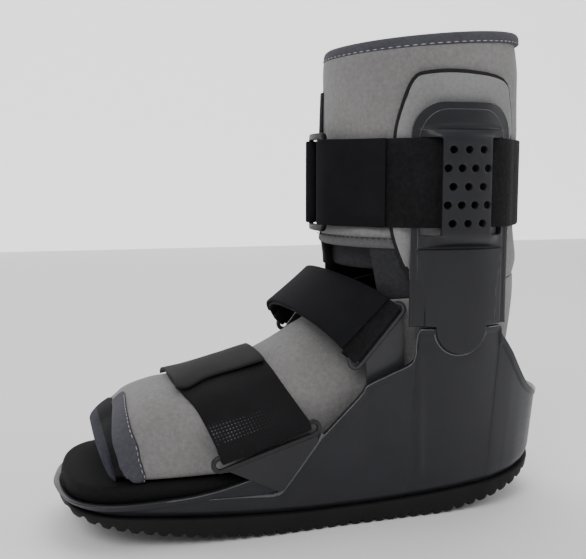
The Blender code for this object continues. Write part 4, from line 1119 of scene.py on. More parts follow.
def flapSections(steps):
    # near flap: laps over the ring from the top down to the sole, open along its front edge
    rows = footOutside(0, 4, steps)
    inner = inwards(rows, boot["linerWall"])

    def skin(u, turn, out):
        r = min(int(u * steps), len(rows) - 2)
        across = (turn % 360) * foot["sides"] / 360
        i = int(across)
        j = (i + 1) % foot["sides"]
        points = []
        for grid in (rows, inner):
            low = grid[r][i].lerp(grid[r][j], across - i)
            high = grid[r + 1][i].lerp(grid[r + 1][j], across - i)
            points.append(low.lerp(high, u * steps - r))
        return points[0] + (points[0] - points[1]).normalized() * out

    curve = smoothRows(list(zip(toeFlap["turns"], toeFlap["lip"], toeFlap["seam"])), 6)
    sections = []
    for turn in np.concatenate([np.linspace(*place) for place in toeFlap["places"]]):
        lip = np.interp(turn, curve[:, 0], curve[:, 1])
        seam = np.interp(turn, curve[:, 0], curve[:, 2])
        proud = np.interp(turn, toeFlap["turns"], toeFlap["proud"])
        proud += 0.0004 * noise.noise(Vector((turn * 0.06, 4, 1)))
        thick = toeFlap["thick"]
        top = []
        low = []
        for share in (1.0, 0.8, 0.6, 0.4, 0.2, 0.06):
            u = lip + share * (seam - lip)
            base = proud + (toeFlap["seamProud"] - proud) * share
            roll = 0.0006 * sin(pi * min(1.0, (1 - share) * 1.1))
            top.append(skin(u, turn, base + roll))
            low.append(skin(u, turn, base - thick * (0.9 if share < 0.9 else 0.7)))
        front = [skin(lip - 0.02, turn, proud - thick * 0.15), skin(lip - 0.06, turn, proud - thick * 0.45),
                 skin(lip - 0.02, turn, proud - thick * 0.8)]
        sections.append(top + front + low[::-1])
    return sections


def layBand(name, sections, closed, material, nodes, darkCells=()):
    floor = boot["insoleTop"] + boot["gap"]
    for section in sections:
        for point in section:
            point.z = max(point.z, floor)
    bm = bmesh.new()
    layFaces(bm, sections + ([sections[0]] if closed else []), closed=True, capped=not closed)
    bm.faces.ensure_lookup_table()
    for r, i in darkCells:                     # cells in the dark lining: the flap's underside, and painted shade on the ring's outside under the flap
        bm.faces[r * len(sections[0]) + i].material_index = 1
    makePiece(name, bm, [looks[material], looks["lining"]], nodes, rounds=1)


def buildToeBinding(steps=6):
    # the ring's outer cells under the flap take the dark lining as painted shade
    low, high = toeFlap["paintedShadeTurns"]
    turns = [(360 * r / foot["sides"] + 90) % 360 - 90 for r in range(foot["sides"])]
    shaded = [(r, i) for r, turn in enumerate(turns) for i in range(4) if low < turn < high]
    # the inner band wears the darker copy of the binding as painted shade
    layBand("toe_edge_binding", bindingRing(steps), True, "bindingPaintedShade", ("toe_binding",), shaded)
    flaps = flapSections(steps)
    under = [(r, i) for r in range(len(flaps) - 1) for i in range(8, 15)]
    layBand("toe_flap_binding", flaps, False, "binding", (), under)
    seam = [section[0].lerp(section[1], 0.45) for section in flaps[3:-3]]
    middle = sum(seam, Vector()) / len(seam)
    normals = []
    for before, section, after in zip(flaps[2:], flaps[3:-3], flaps[4:]):
        normal = (after[0] - before[0]).cross(section[1] - section[0]).normalized()
        normals.append(normal if normal.dot(section[0] - middle) > 0 else -normal)
    bm = bmesh.new()
    stitchRow(bm, seam, normals, 0.0034, 0.0022, 0.00026, 0.0001, skip=0.3)
    makePiece("toe_stitches", bm, [looks["thread"]])


buildFootLiner()
buildToeBinding()
print("foot liner built")


calf = {
    "rimFront": 0.277,
    "rimBack": 0.2866,
    "bindingHeight": 0.0066,
    "hemLow": 0.162,
    "hemHeight": 0.0045,
    "hemStart": -118.0,
    "hemEnd": -52.0,
    "hemEase": 7.0,
    "columns": 144,
    "rows": 34,
    "rimLean": 0.0021,         # how far the rim draws in
    "strapped": (0.171, 0.225),        # held between these heights, under the strap
    "dark": (-60, -14, 0.180),         # painted shade on the liner below the front flap: degrees and top
}


def rimHeight(angle):
    middle = (calf["rimBack"] + calf["rimFront"]) / 2
    return middle + (calf["rimBack"] - calf["rimFront"]) / 2 * sin(radians(angle))


def collarHeight(angle):
    middle = (boot["collarBack"] + boot["collarFront"]) / 2
    return middle + (boot["collarBack"] - boot["collarFront"]) / 2 * sin(radians(angle)) + 3 * boot["gap"]


def flapShare(angle):
    turn = (angle + 270) % 360 - 270
    into = min(turn - calf["hemStart"], calf["hemEnd"] - turn)
    return min(1.0, max(0.0, into / calf["hemEase"] + 1))


def underStrut(angle, z, margin=0.0):
    # 1 where a strut pad, strut or the shell's wing lies against the liner
    turn = abs((angle + 180) % 360 - 180)
    side = min(turn, 180 - turn)
    return side < 41 + margin and z < 0.262


def calfRadius(angle, z):
    heel = heelBulge(z) * ease(0.35, 0.9, max(0.0, sin(radians(angle))))
    return boot["linerRadius"] + heel - calf["rimLean"] * ease(0.262, 0.288, z)


def turnOf(point):                     # degrees round the calf
    return np.degrees(np.arctan2(point.x - boot["calfX"], -point.y))


def buildCalfLiner():
    angles = [360 * i / calf["columns"] - 120 for i in range(calf["columns"])]
    rows = []
    for share in np.arange(calf["rows"] + 1) / calf["rows"]:
        row = []
        for angle in angles:
            low = collarHeight(angle)
            low += flapShare(angle) * (calf["hemLow"] + calf["hemHeight"] - low)
            z = low + share * (rimHeight(angle) - calf["bindingHeight"] - low)
            row.append(aroundCalf(angle, calfRadius(angle, z), z))
        rows.append(row)

    def held(r, i):
        z = rows[r][i].z
        strapped = calf["strapped"][0] < z < calf["strapped"][1]
        return float(r in (0, calf["rows"]) or strapped or underStrut(angles[i], z))

    shaped = []
    for row in puff("calfTrial", rows, held, cloth["calfCap"]):
        line = []
        for angle, point in zip(angles, row):
            push = 0.0005 * noise.noise(point * 45)
            if underStrut(angle, point.z, 3) or 0.172 < point.z < 0.224:
                push = min(push, -0.0002)
            line.append(point + calfOut(angle) * push)
        shaped.append(line)
    inside = boot["linerRadius"] - boot["linerWall"]
    inner = [[aroundCalf(angle, inside, point.z) for angle, point in zip(angles, row)] for row in rows]
    bm = bmesh.new()
    closedWall(bm, shaped, inner)
    # faces below the front flap take the tongue's dark fabric as painted shade
    start, end, top = calf["dark"]
    for face in bm.faces:
        centre = face.calc_center_median()
        if start < turnOf(centre) < end and centre.z < top and face.material_index == 0:
            face.material_index = 2
    makePiece("calf_liner", bm, [looks["liner"], looks["lining"], looks["tongue"]],
              ("liner_calf",), rounds=1)


def buildCalfBinding():
    inner = boot["linerRadius"] - boot["linerWall"] - 0.0002
    rings = []
    for angle in range(0, 360, 2):
        high = rimHeight(angle)
        outer = boot["linerRadius"] - calf["rimLean"] * 0.9
        outer += 0.0004 * noise.noise(Vector((angle * 0.03, 0, 4)))
        tall = calf["bindingHeight"] + 0.0006 + 0.0005 * noise.noise(Vector((angle * 0.04, 3, 0)))
        section = [(outer + 0.0013, high - tall), (outer + 0.0016, high - tall * 0.72),
                   (outer + 0.0014, high - tall * 0.4), (outer + 0.0004, high - tall * 0.12),
                   (outer - 0.0016, high - 0.0001), (outer - 0.0034, high - 0.0004), (inner, high - 0.0014),
                   (inner - 0.0008, high - tall * 0.45), (inner - 0.0004, high - tall),
                   (inner + 0.002, high - tall), (outer - 0.001, high - tall)]
        rings.append(ringAt(angle, section))
    rings.append(rings[0])
    bm = bmesh.new()
    layFaces(bm, rings, closed=True)
    makePiece("calf_rim_binding", bm, [looks["binding"]], ("calf_binding",), rounds=1)
    bm = bmesh.new()
    angles = np.arange(-180, 180, 3.0)
    radius = boot["linerRadius"] - calf["rimLean"] + 0.0014
    seam = [aroundCalf(angle, radius, rimHeight(angle) - calf["bindingHeight"] + 0.0006) for angle in angles]
    stitchRow(bm, seam, [calfOut(angle) for angle in angles], 0.0046, 0.0028, 0.00030, 0.0002, skip=0.2)
    makePiece("calf_stitches", bm, [looks["thread"]])


def ringPiece(name, rings, look, nodes):
    bm = bmesh.new()
    layFaces(bm, rings, closed=True, capped=True)
    makePiece(name, bm, [looks[look]], nodes, rounds=1)


hem = {
    "start": -117.0,
    "end": -33.0,
    "proud": 0.0030,
    "low": 0.1605,
    "high": 0.1672,
    "columns": 46,
    "corner": (0.10, 0.0075),          # rounded corner at the flap's free end: share of the length, and lift
    "tuck": 0.0022,            # how far its other end sinks in
}


def buildHem():
    # puffed lower edge of the front flap, with its seam
    rings = []
    r = boot["linerRadius"]
    for share in np.arange(hem["columns"] + 1) / hem["columns"]:
        angle = hem["start"] + share * (hem["end"] - hem["start"])
        lift = hem["corner"][1] * (1 - min(1.0, share / hem["corner"][0])) ** 2
        swell = 0.25 + 0.75 * ease(0, 0.08, share)
        low = hem["low"] + lift
        high = hem["high"] + lift * 0.9
        proud = hem["proud"] * swell + 0.0004 * noise.noise(Vector((angle * 0.06, 2, 5)))
        tuck = ease(0.86, 1.0, share) * hem["tuck"]
        section = [(r - 0.004, low + 0.0012), (r - 0.001, low), (r + proud * 0.55, low + 0.0006),
                   (r + proud * 0.8 - tuck, low + 0.0026), (r + proud * 0.62 - tuck, high - 0.0016),
                   (r + 0.0006, high), (r - 0.002, high + 0.0006), (r - 0.0055, high),
                   (r - 0.0055, low + 0.003)]
        rings.append(ringAt(angle, section))
    ringPiece("flap_hem", rings, "hem", ("calf_hem",))
    bm = bmesh.new()
    angles = np.linspace(hem["start"] + 9, hem["end"] - 1, 40)
    seam = [aroundCalf(angle, r + 0.0026, hem["high"] - 0.0008) for angle in angles]
    stitchRow(bm, seam, [calfOut(angle) for angle in angles], 0.0036, 0.0024, 0.0003, 0.0002)
    makePiece("hem_stitches", bm, [looks["threadDark"]])


flap = {"low": 0.1665, "high": 0.1735, "start": -117.5, "end": -31, "proud": 0.0034, "columns": 44}


def buildFlapPuff():
    # the grey flap swells out below the calf strap before its hem
    rings = []
    r = boot["linerRadius"]
    for share in np.arange(flap["columns"] + 1) / flap["columns"]:
        angle = flap["start"] + share * (flap["end"] - flap["start"])
        edge = ease(0, 0.07, share) * ease(1.0, 0.85, share)
        low = flap["low"] + 0.004 * (1 - min(1.0, share / 0.08)) ** 2
        proud = flap["proud"] * edge + 0.0004 * noise.noise(Vector((angle * 0.05, 7, 5)))
        section = [(r - 0.0006 + proud * sin(pi * (0.12 + 0.8 * t)) ** 0.8, low + t * (flap["high"] - low))
                   for t in np.arange(7) / 6]
        rings.append(ringAt(angle, section + [(r - 0.004, flap["high"]), (r - 0.004, low)]))
    ringPiece("flap_swell", rings, "liner", ())


tongue = {
    "start": -112.0,
    "end": -40.0,
    "low": 0.1475,
    "high": 0.200,
    "wall": 0.0042,
    "corner": 0.008,
    "columns": 36,
}


def buildTongue():
    rings = []
    outer = boot["linerRadius"] - boot["linerWall"] - boot["gap"]
    for share in np.arange(tongue["columns"] + 1) / tongue["columns"]:
        angle = tongue["start"] + share * (tongue["end"] - tongue["start"])
        corner = max(0.0, 1 - share / 0.14)
        low = tongue["low"] + tongue["corner"] * (1 - (1 - corner ** 2) ** 0.5)
        front = outer - 0.0004 + 0.0003 * noise.noise(Vector((angle * 0.05, 9, 1)))
        back = front - tongue["wall"]
        section = [(front - 0.0012, low), (front, low + 0.0014), (front, low + 0.008), (front, 0.17),
                   (front, tongue["high"]), (back, tongue["high"]), (back, 0.17), (back, low + 0.0016),
                   (back + 0.001, low + 0.0002)]
        rings.append(ringAt(angle, section))
    ringPiece("tongue_pad", rings, "tongue", ("tongue",))


flapEdge = {"angle": -107.0, "wide": 8.0, "low": 0.148, "high": 0.252, "radius": 0.0600}


def buildFlapEdge():
    # dark bound edge of the far flap, which shows past the liner's front
    rows = []
    for z in np.linspace(flapEdge["low"], flapEdge["high"], 22):
        bow = 0.0012 * sin(pi * (z - flapEdge["low"]) / (flapEdge["high"] - flapEdge["low"]))
        pressed = 0.0020 * ease(0.172, 0.150, z) + (0.0010 if 0.170 <= z <= 0.226 else 0.0)
        radius = flapEdge["radius"] + bow - pressed
        angles = flapEdge["angle"] + flapEdge["wide"] * np.linspace(-1, 1, 6)
        rows.append([aroundCalf(angle, radius, z) for angle in angles])
    makePiece("far_flap_edge", strapMesh(rows, 0.0016), [looks["tongue"]])


buildCalfLiner()
buildCalfBinding()
buildHem()
buildFlapPuff()
buildTongue()
buildFlapEdge()
print("calf liner built")


# struts and their pads

strut = {
    "top": 0.2427,
    "halfAngle": 27.0,
    "corner": 0.018,
    "tabRadius": 0.0152,
    "slotInner": 12.4,
    "slotOuter": 22.6,
    "slotLow": 0.169,
    "slotHigh": 0.223,
    "bulge": 0.0042,
    "bulgeEase": 0.007,
    "holeDiameter": 0.0042,
    "holeRowPitch": 0.01015,
    "holeAnglePitch": 6.6,
    "shortRowSpread": 1.13,
    "edgeRound": 0.0006,
    "panelRaise": 0.0011,
    "ridge": ((0.1115, 0.1375, 0.160), (18.6, 19.4, 23.0)),    # heights and degrees of the panel's edge
    "lens": 25.0,              # the hollows' half width, degrees
    "border": (24.6, 25.4, 0.0005),    # raised border: from and to in degrees, and its height
    "creases": (0.1612, 0.2276),       # the lower panel's top edge, and the upper hollow
    "creaseSlices": (-0.0008, -0.0004, -0.0001, 0.0003, 0.0008, 0.0014, 0.0022, 0.0031, 0.0038),
    "lines": ((0.0001, 0.00045), (0.0042, 0.00026)),   # lines drawn lighter as painted highlights along the strut's edge: inset and radius
    "creaseTall": 0.0034,
    "creaseDeep": 0.0011,
    "slice": 0.0016,
}


def strutOutline(halfSpan):
    low = boot["wingTop"] + 3 * boot["gap"]
    cornerZ = strut["top"] - strut["corner"]
    points = [(strut["tabRadius"] * sin(radians(a)), boot["wingTop"] - strut["tabRadius"] * cos(radians(a)))
              for a in range(-84, 85, 7)]
    points += [(strut["tabRadius"], low), (halfSpan, low)]
    r = strut["corner"]
    corner = [(halfSpan - r * (1 - cos(radians(a))), cornerZ + r * sin(radians(a))) for a in range(0, 91, 6)]
    points += corner + [(-x, z) for x, z in reversed(corner)]
    return points + [(-halfSpan, low), (-strut["tabRadius"], low)]


def panelBulge(x, z, middle):
    inner = middle * radians(strut["slotInner"])
    outer = middle * radians(strut["slotOuter"])
    across = ease(outer, inner, abs(x))
    over = min(z - strut["slotLow"] + strut["bulgeEase"], strut["slotHigh"] + strut["bulgeEase"] - z)
    return strut["bulge"] * across * ease(0, strut["bulgeEase"], over)


def strutRelief(x, z, middle):
    # low relief of the outside: raised lower panel, lens-shaped hollows over and under the perforated panel
    angle = abs(x / middle) * 180 / pi
    ridge = np.interp(z, *strut["ridge"])
    lens = max(0.0, 1 - (angle / strut["lens"]) ** 2)
    low = strut["creases"][0]
    relief = strut["panelRaise"] * ease(ridge + 0.7, ridge - 0.2, angle) * ease(low + 0.0004, low - 0.0005, z)
    tall = strut["creaseTall"] * lens + 0.0003
    for start in strut["creases"]:
        depth = z - start
        if -0.0004 < depth < tall:
            inside = ease(-0.0004, 0.0003, depth) * ease(tall, tall * 0.25, depth)
            relief -= strut["creaseDeep"] * lens * inside
    start, end, height = strut["border"]
    return relief + height * ease(start, end, angle) * ease(strut["top"] - 0.02, strut["top"] - 0.03, z)


def strutCutters(middle):
    # the two strap slots and the rows of holes between them
    midZ = (strut["slotLow"] + strut["slotHigh"]) / 2
    r = 0.0012
    cutters = []
    for side in (-1, 1):
        centre = radians((strut["slotInner"] + strut["slotOuter"]) / 2) * side * middle
        wide = radians(strut["slotOuter"] - strut["slotInner"]) * middle / 2 - r
        tall = (strut["slotHigh"] - strut["slotLow"]) / 2 - r
        cutters.append([(centre + cx * wide + r * cos(radians(a)), midZ + cz * tall + r * sin(radians(a)))
                        for cx, cz, start in ((1, 1, 0), (-1, 1, 90), (-1, -1, 180), (1, -1, 270))
                        for a in (start, start + 30, start + 60, start + 90)])
    hole = strut["holeDiameter"] / 2
    for row, perRow in enumerate((3, 4, 3, 4, 3)):
        spread = strut["shortRowSpread"] if perRow == 3 else 1.0
        for i in range(perRow):
            x = radians(strut["holeAnglePitch"] * (i - (perRow - 1) / 2) * spread) * middle
            z = midZ + (2 - row) * strut["holeRowPitch"]
            cutters.append([(x + hole * cos(t), z + hole * sin(t)) for t in np.arange(20) * pi / 10])
    return cutters


def extrudeOutline(points, half):
    bm = bmesh.new()
    pushOut(bm, bm.faces.new([bm.verts.new((x, -half, z)) for x, z in points]), 2 * half)
    bmesh.ops.recalc_face_normals(bm, faces=bm.faces)
    return bm


def sliceBy(bm, places, axis):
    for place in places:
        bmesh.ops.bisect_plane(bm, geom=bm.verts[:] + bm.edges[:] + bm.faces[:],
                               plane_co=[place * part for part in axis], plane_no=axis, dist=1e-6)


def bentPlate(name, outline, cutters, thickness, radiusIn, bevel, xSlices, zSlices, shape, materials,
              node, edgeMaterial=0):
    # plate worked flat in arc length and height, then bent round the calf; -y is the outside
    middle = radiusIn + thickness / 2
    body = makePiece(name, extrudeOutline(outline, thickness / 2), materials, weld=0, rides=False)
    if cutters:
        bm = bmesh.new()
        for points in cutters:
            part = extrudeOutline(points, 2 * thickness)
            mesh = bpy.data.meshes.new("cut")
            part.to_mesh(mesh)
            part.free()
            bm.from_mesh(mesh)
            bpy.data.meshes.remove(mesh)
        cutAway(body, makePiece("tool", bm, [], weld=0, rides=False))
    bm = bmesh.new()
    bm.from_mesh(body.data)
    bpy.data.objects.remove(body)
    for face in bm.faces:
        if abs(face.normal.y) < 0.5:
            face.material_index = edgeMaterial
    rim = [edge for edge in bm.edges if len(edge.link_faces) == 2 and edge.calc_face_angle(0) > radians(50)
           and all(abs(v.co.y + thickness / 2) < 1e-5 for v in edge.verts)]
    bmesh.ops.bevel(bm, geom=rim, offset=bevel, segments=3, profile=0.5, affect="EDGES", clamp_overlap=True)
    sliceBy(bm, xSlices, (1, 0, 0))
    sliceBy(bm, zSlices, (0, 0, 1))
    bmesh.ops.triangulate(bm, faces=[face for face in bm.faces if len(face.verts) > 4])
    for vert in bm.verts:
        x, y, z = vert.co
        outside = min(1.0, max(0.0, 0.5 - y / thickness))
        radius = middle - y + shape(x, z, middle, outside)
        vert.co = aroundCalf(np.degrees(x / middle), radius, z)
    return makePiece(name, bm, materials, (node,), weld=0, crease=42)


def buildStruts():
    thickness = boot["strutOut"] - boot["strutIn"]
    middle = boot["strutIn"] + thickness / 2
    halfSpan = middle * radians(strut["halfAngle"])
    ridgeAngles = (18.4, 19.0, 19.6, 20.4, 21.4, 22.4, 23.2, 24.4, 25.0, 25.6)
    xSlices = list(np.arange(-halfSpan + 0.001, halfSpan, strut["slice"]))
    xSlices += [side * middle * radians(a) for side in (-1, 1) for a in ridgeAngles]
    zSlices = list(np.arange(0.103, strut["top"], 0.0021))
    for base in strut["creases"]:
        zSlices += [base + d for d in strut["creaseSlices"]]

    def shape(x, z, mid, outside):
        return panelBulge(x, z, mid) + outside * strutRelief(x, z, mid)

    near = bentPlate("strut_near", strutOutline(halfSpan), strutCutters(middle), thickness, boot["strutIn"],
                     strut["edgeRound"], xSlices, zSlices, shape, [looks["strut"]],
                     "strut_left")
    mirroredPiece(near, "strut_far", ("strut_right",))
    bm = bmesh.new()
    edge = strutOutline(halfSpan)[26:-1]       # past the lug, up one side, over the top and down the other
    for inset, radius in strut["lines"]:
        path = []
        normals = []
        for (x0, z0), (x1, z1) in zip(edge, edge[1:]):
            for t in (0.0, 0.25, 0.5, 0.75):
                x = (x0 + (x1 - x0) * t) * (1 - inset / halfSpan)
                z = z0 + (z1 - z0) * t
                z -= inset * ease(0.2, 0.235, z)
                angle = np.degrees(x / middle)
                lift = panelBulge(x, z, middle) + strutRelief(x, z, middle)
                path.append(aroundCalf(angle, boot["strutOut"] + lift - 0.0001, z))
                normals.append(calfOut(angle))
        sweepTube(bm, path, (radius, radius), sides=6, normals=normals)
    mirrorInto(bm)
    # these lines take the lighter edge material: painted highlight along the strut's border
    makePiece("strut_lines", bm, [looks["edge"]])


padRows = [        # degrees and share of the height, once round
    (-20, 0.0), (20, 0.0), (28, 0.2), (34, 0.40), (35, 0.75), (32, 0.90), (26, 0.975), (0, 1.0),
    (-18, 0.995), (-26, 0.97), (-32, 0.855), (-35, 0.755), (-37, 0.58), (-37, 0.40), (-29, 0.22), (-21.5, 0.12),
]
pad = {
    "low": 0.119,
    "high": 0.2585,
    "halfAngle": 37,
    "thickness": 0.0022,
    "edgeRound": 0.0007,
    "proud": 0.0010,
    "piping": 0.0013,
    "pipingFrom": 0.010,       # over the wing's top
}


def roundOutline(rows, steps):
    points = np.array(rows, float)
    count = len(points)
    return [bendBetween(*(points[(i + k) % count] for k in (-1, 0, 1, 2)), t)
            for i in range(count) for t in np.arange(steps) / steps]


def buildPads():
    # fabric-faced foam sheets behind the struts, with a dark cut edge
    inside = boot["linerRadius"] + boot["gap"]
    middle = inside + pad["thickness"] / 2
    tall = pad["high"] - pad["low"]
    outline = [(middle * radians(a), pad["low"] + z * tall) for a, z in roundOutline(padRows, 4)]
    halfSpan = middle * radians(pad["halfAngle"])

    def shape(x, z, mid, outside):
        # the foam is squeezed under the strut and stands proud at its free border
        free = max(ease(27.5, 31, abs(x / mid) * 180 / pi), ease(0.244, 0.249, z))
        wave = 0.0005 * noise.noise(Vector((x * 60, 3, z * 60)))
        strapped = 1 - ease(0.170, 0.174, z) * ease(0.227, 0.223, z)
        return outside * free * strapped * (pad["proud"] + wave)

    near = bentPlate("strut_pad_near", outline, [], pad["thickness"], inside, pad["edgeRound"],
                     np.arange(-halfSpan + 0.002, halfSpan, 0.0035), np.arange(0.121, 0.258, 0.004), shape,
                     [looks["pad"], looks["padEdge"]], "strut_pad_left", edgeMaterial=1)
    mirroredPiece(near, "strut_pad_far", ("strut_pad_right",))
    path = []
    normals = []
    for x, z in outline:
        if z >= boot["wingTop"] + pad["pipingFrom"]:
            angle = np.degrees(x / middle)
            free = 1 - ease(0.168, 0.172, z) * ease(0.229, 0.225, z) * ease(24, 30, abs(angle))
            path.append(aroundCalf(angle, inside + 0.0008 + 0.0006 * free, z))
            normals.append(calfOut(angle))
    first = max(range(len(path)), key=lambda i: (path[i] - path[i - 1]).length)
    bm = bmesh.new()
    sweepTube(bm, path[first:] + path[:first], (pad["piping"], pad["piping"] * 1.6), sides=10,
              normals=normals[first:] + normals[:first])
    mirrorInto(bm)
    makePiece("pad_piping", bm, [looks["padEdge"]])


buildStruts()
buildPads()
print("struts built")


# calf strap, its tab and ring

strap = {
    "thickness": 0.0018,
    "low": 0.174,
    "width": 0.048,
    "ringNear": -78.0,
    "ringFar": -106.0,
    "ringBar": 0.004,
    "ringThick": 0.003,
    "across": 9,
    "tabEnd": -39.5,           # the smooth tab ends here and the loop pile shows, degrees
    "pile": (-44, 150),        # loop pile from the strut back, smooth face towards the ring
    "ringMargin": 0.0012,
    "ringCorner": 0.0022,
}
layer = strap["thickness"] + boot["gap"]
strapHalf = strap["thickness"] / 2
overLiner = boot["linerRadius"] + boot["gap"] + strapHalf


def arcPoints(path, step=3.0):
    points = [aroundCalf(path[0][0], path[0][1], 0)]
    for (a0, r0), (a1, r1) in zip(path, path[1:]):
        count = max(1, int(abs(a1 - a0) / step + 0.999))
        for i in range(1, count + 1):
            share = i / count
            points.append(aroundCalf(a0 + share * (a1 - a0), r0 + share * (r1 - r0), 0))
    return points


def relax(points, passes=2):
    # rounds the corners of a path and keeps its ends
    for _ in range(passes):
        inner = [(a + b * 2 + c) / 4 for a, b, c in zip(points, points[1:], points[2:])]
        points = [points[0], *inner, points[-1]]
    return points


def bandRows(points):
    # the strap's width laid over a path round the calf
    rows = []
    for i, p in enumerate(points):
        row = []
        for share in np.arange(strap["across"]) / (strap["across"] - 1):
            wobble = 0.00035 * noise.noise(Vector((i * 0.11, 5.0, share)))
            row.append(Vector((p.x, p.y, strap["low"] + strap["width"] * share + wobble)))
        rows.append(row)
    return rows


def edgeStitches(bm, rows, inset, side, pitch=0.0032):
    path = []
    normals = []
    for i, row in enumerate(rows):
        after, before = beside(rows, i)
        normals.append((after[0] - before[0]).cross(row[-1] - row[0]).normalized() * side)
        path.append(row[0].lerp(row[-1], inset) + normals[-1] * strapHalf)
    stitchRow(bm, path, normals, pitch, pitch * 0.62, 0.0002, 0.0)


def buildCalfStrap():
    padOut = boot["linerRadius"] + boot["gap"] + pad["thickness"]
    overPad = padOut + boot["gap"] + strapHalf
    overStrip = boot["strutOut"] + boot["gap"] + strapHalf
    behind = (padOut + boot["strutIn"] + strut["bulge"]) / 2
    overPanel = overStrip + strut["bulge"]
    back = overLiner + layer
    ringIn = overLiner + 2 * layer
    ringMid = ringIn + strap["ringThick"] / 2
    turnRadius = strap["ringThick"] / 2 + boot["gap"] + strapHalf
    outer = ringMid + turnRadius
    barHalf = np.degrees(strap["ringBar"] / 2 / ringMid)
    farBar = strap["ringFar"] + 360
    edge = strut["halfAngle"]
    crossing = [(-53, overLiner), (-39, overPad), (-edge - 7, overPad), (-edge - 1, overStrip),
                (-strut["slotOuter"] + 0.6, overStrip), (-strut["slotInner"] - 1.2, behind),
                (strut["slotInner"] + 1.2, behind), (strut["slotOuter"] - 0.6, overStrip),
                (edge + 1, overStrip), (edge + 7, overPad), (39, overPad), (53, overLiner)]
    path = [(strap["ringFar"] + 1, overLiner)] + crossing + [(180 - a, r) for a, r in reversed(crossing)]
    points = relax(arcPoints(path + [(farBar - 16, overLiner), (farBar - 8, back)]))
    out = calfOut(farBar + barHalf)
    along = Vector((0, 0, 1)).cross(out)
    hub = aroundCalf(farBar + barHalf, ringMid, 0) + along * strap["ringBar"] / 2
    points += wrapBar(hub, -out, along, turnRadius, range(0, 181, 20))
    ends = [(farBar - 5, outer), (farBar - 28, outer), (214, overPanel), (180 - edge - 2, overPanel),
            (140, overPad + 1.5 * layer), (128, back), (97, back)]
    bm = strapMesh(bandRows(points + relax(arcPoints(ends))), strap["thickness"])
    for face in bm.faces:
        if strap["pile"][0] < turnOf(face.calc_center_median()) < strap["pile"][1]:
            face.material_index = 1
    makePiece("calf_webbing", bm, [looks["strap"], looks["loops"]], ("calf_strap",),
              crease=60)

    nearBar = strap["ringNear"] - barHalf
    out = calfOut(nearBar)
    along = out.cross(Vector((0, 0, 1)))
    hub = aroundCalf(nearBar, ringMid, 0) + along * strap["ringBar"] / 2
    tab = arcPoints([(strap["tabEnd"], overPad + layer), (-53, overLiner + 1.1 * layer),
                     (-62, overLiner + 2 * layer), (strap["ringNear"] + 3, outer)])
    tab += wrapBar(hub, out, along, turnRadius, range(0, 181, 20))
    tab += arcPoints([(strap["ringNear"] + 6, back), (-55, back)])
    makePiece("calf_webbing_tab", strapMesh(bandRows(tab), strap["thickness"]), [looks["strap"]],
              ("calf_strap_tab",), crease=60)
    buildCalfRing(ringIn)


def buildCalfRing(ringIn):
    # moulded rectangular ring, bent round the calf
    bar = strap["ringBar"]
    corner = strap["ringCorner"]
    radius = ringIn + strap["ringThick"] / 2
    turn = np.degrees(corner / radius)
    barAngle = np.degrees(bar / 2 / ringIn)
    low = strap["low"] - strap["ringMargin"] - bar / 2 + corner
    high = strap["low"] + strap["width"] + strap["ringMargin"] + bar / 2 - corner
    left = strap["ringFar"] + barAngle + turn
    right = strap["ringNear"] - barAngle - turn
    loop = [(cx + turn * cos(radians(start + a)), cz + corner * sin(radians(start + a)))
            for cx, cz, start in ((right, high, 0), (left, high, 90), (left, low, 180), (right, low, 270))
            for a in (0, 22.5, 45, 67.5, 90)]
    dense = []
    for (a0, z0), (a1, z1) in zip(loop, loop[1:] + loop[:1]):
        count = max(1, int(abs(a1 - a0) / 3 + 0.99))
        dense += [(a0 + (a1 - a0) * i / count, z0 + (z1 - z0) * i / count) for i in range(count)]
    bm = bmesh.new()
    sweepTube(bm, [aroundCalf(a, radius, z) for a, z in dense], (strap["ringThick"] / 2, bar / 2), closed=True,
              sides=14, normals=[calfOut(a) for a, z in dense], power=0.55)
    makePiece("calf_loop", bm, [looks["ringBlack"]], ("calf_ring",))


buildCalfStrap()
print("calf strap built")


# rings and straps of the toe and the ankle

ring = {
    "thick": 0.0030,
    "wire": 0.0028,
    "slot": 0.0045,
    "plate": 0.0014,
    "corner": 0.003,           # largest rounding of the plate's corners
    "edgeRound": 0.0005,
    "toeLoops": ((-0.067, 0.0466), (-0.0145, 0.0629)),
    "toeCorners": ((-0.0597, 0.0411), (-0.0322, 0.0275), (-0.0111, 0.0552)),
    "ankleLoops": ((0.0128, 0.0977), (0.0370, 0.1266)),
    "ankleCorners": ((0.0190, 0.0963), (0.0205, 0.067), (0.0400, 0.070), (0.0425, 0.0943), (0.0405, 0.1190)),
    "farShift": (-0.014, 0.006),
    "toeWidth": 0.051,
    "ankleWidth": 0.039,
    "ankleRise": (0.0240, 0.0122),
    "ankleLean": (35.5, 48.0),
}


def ringLines(loops):
    a = Vector((loops[0][0], 0, loops[0][1]))
    b = Vector((loops[1][0], 0, loops[1][1]))
    along = (b - a).normalized()
    return a, b, along, Vector((-along.z, 0, along.x))


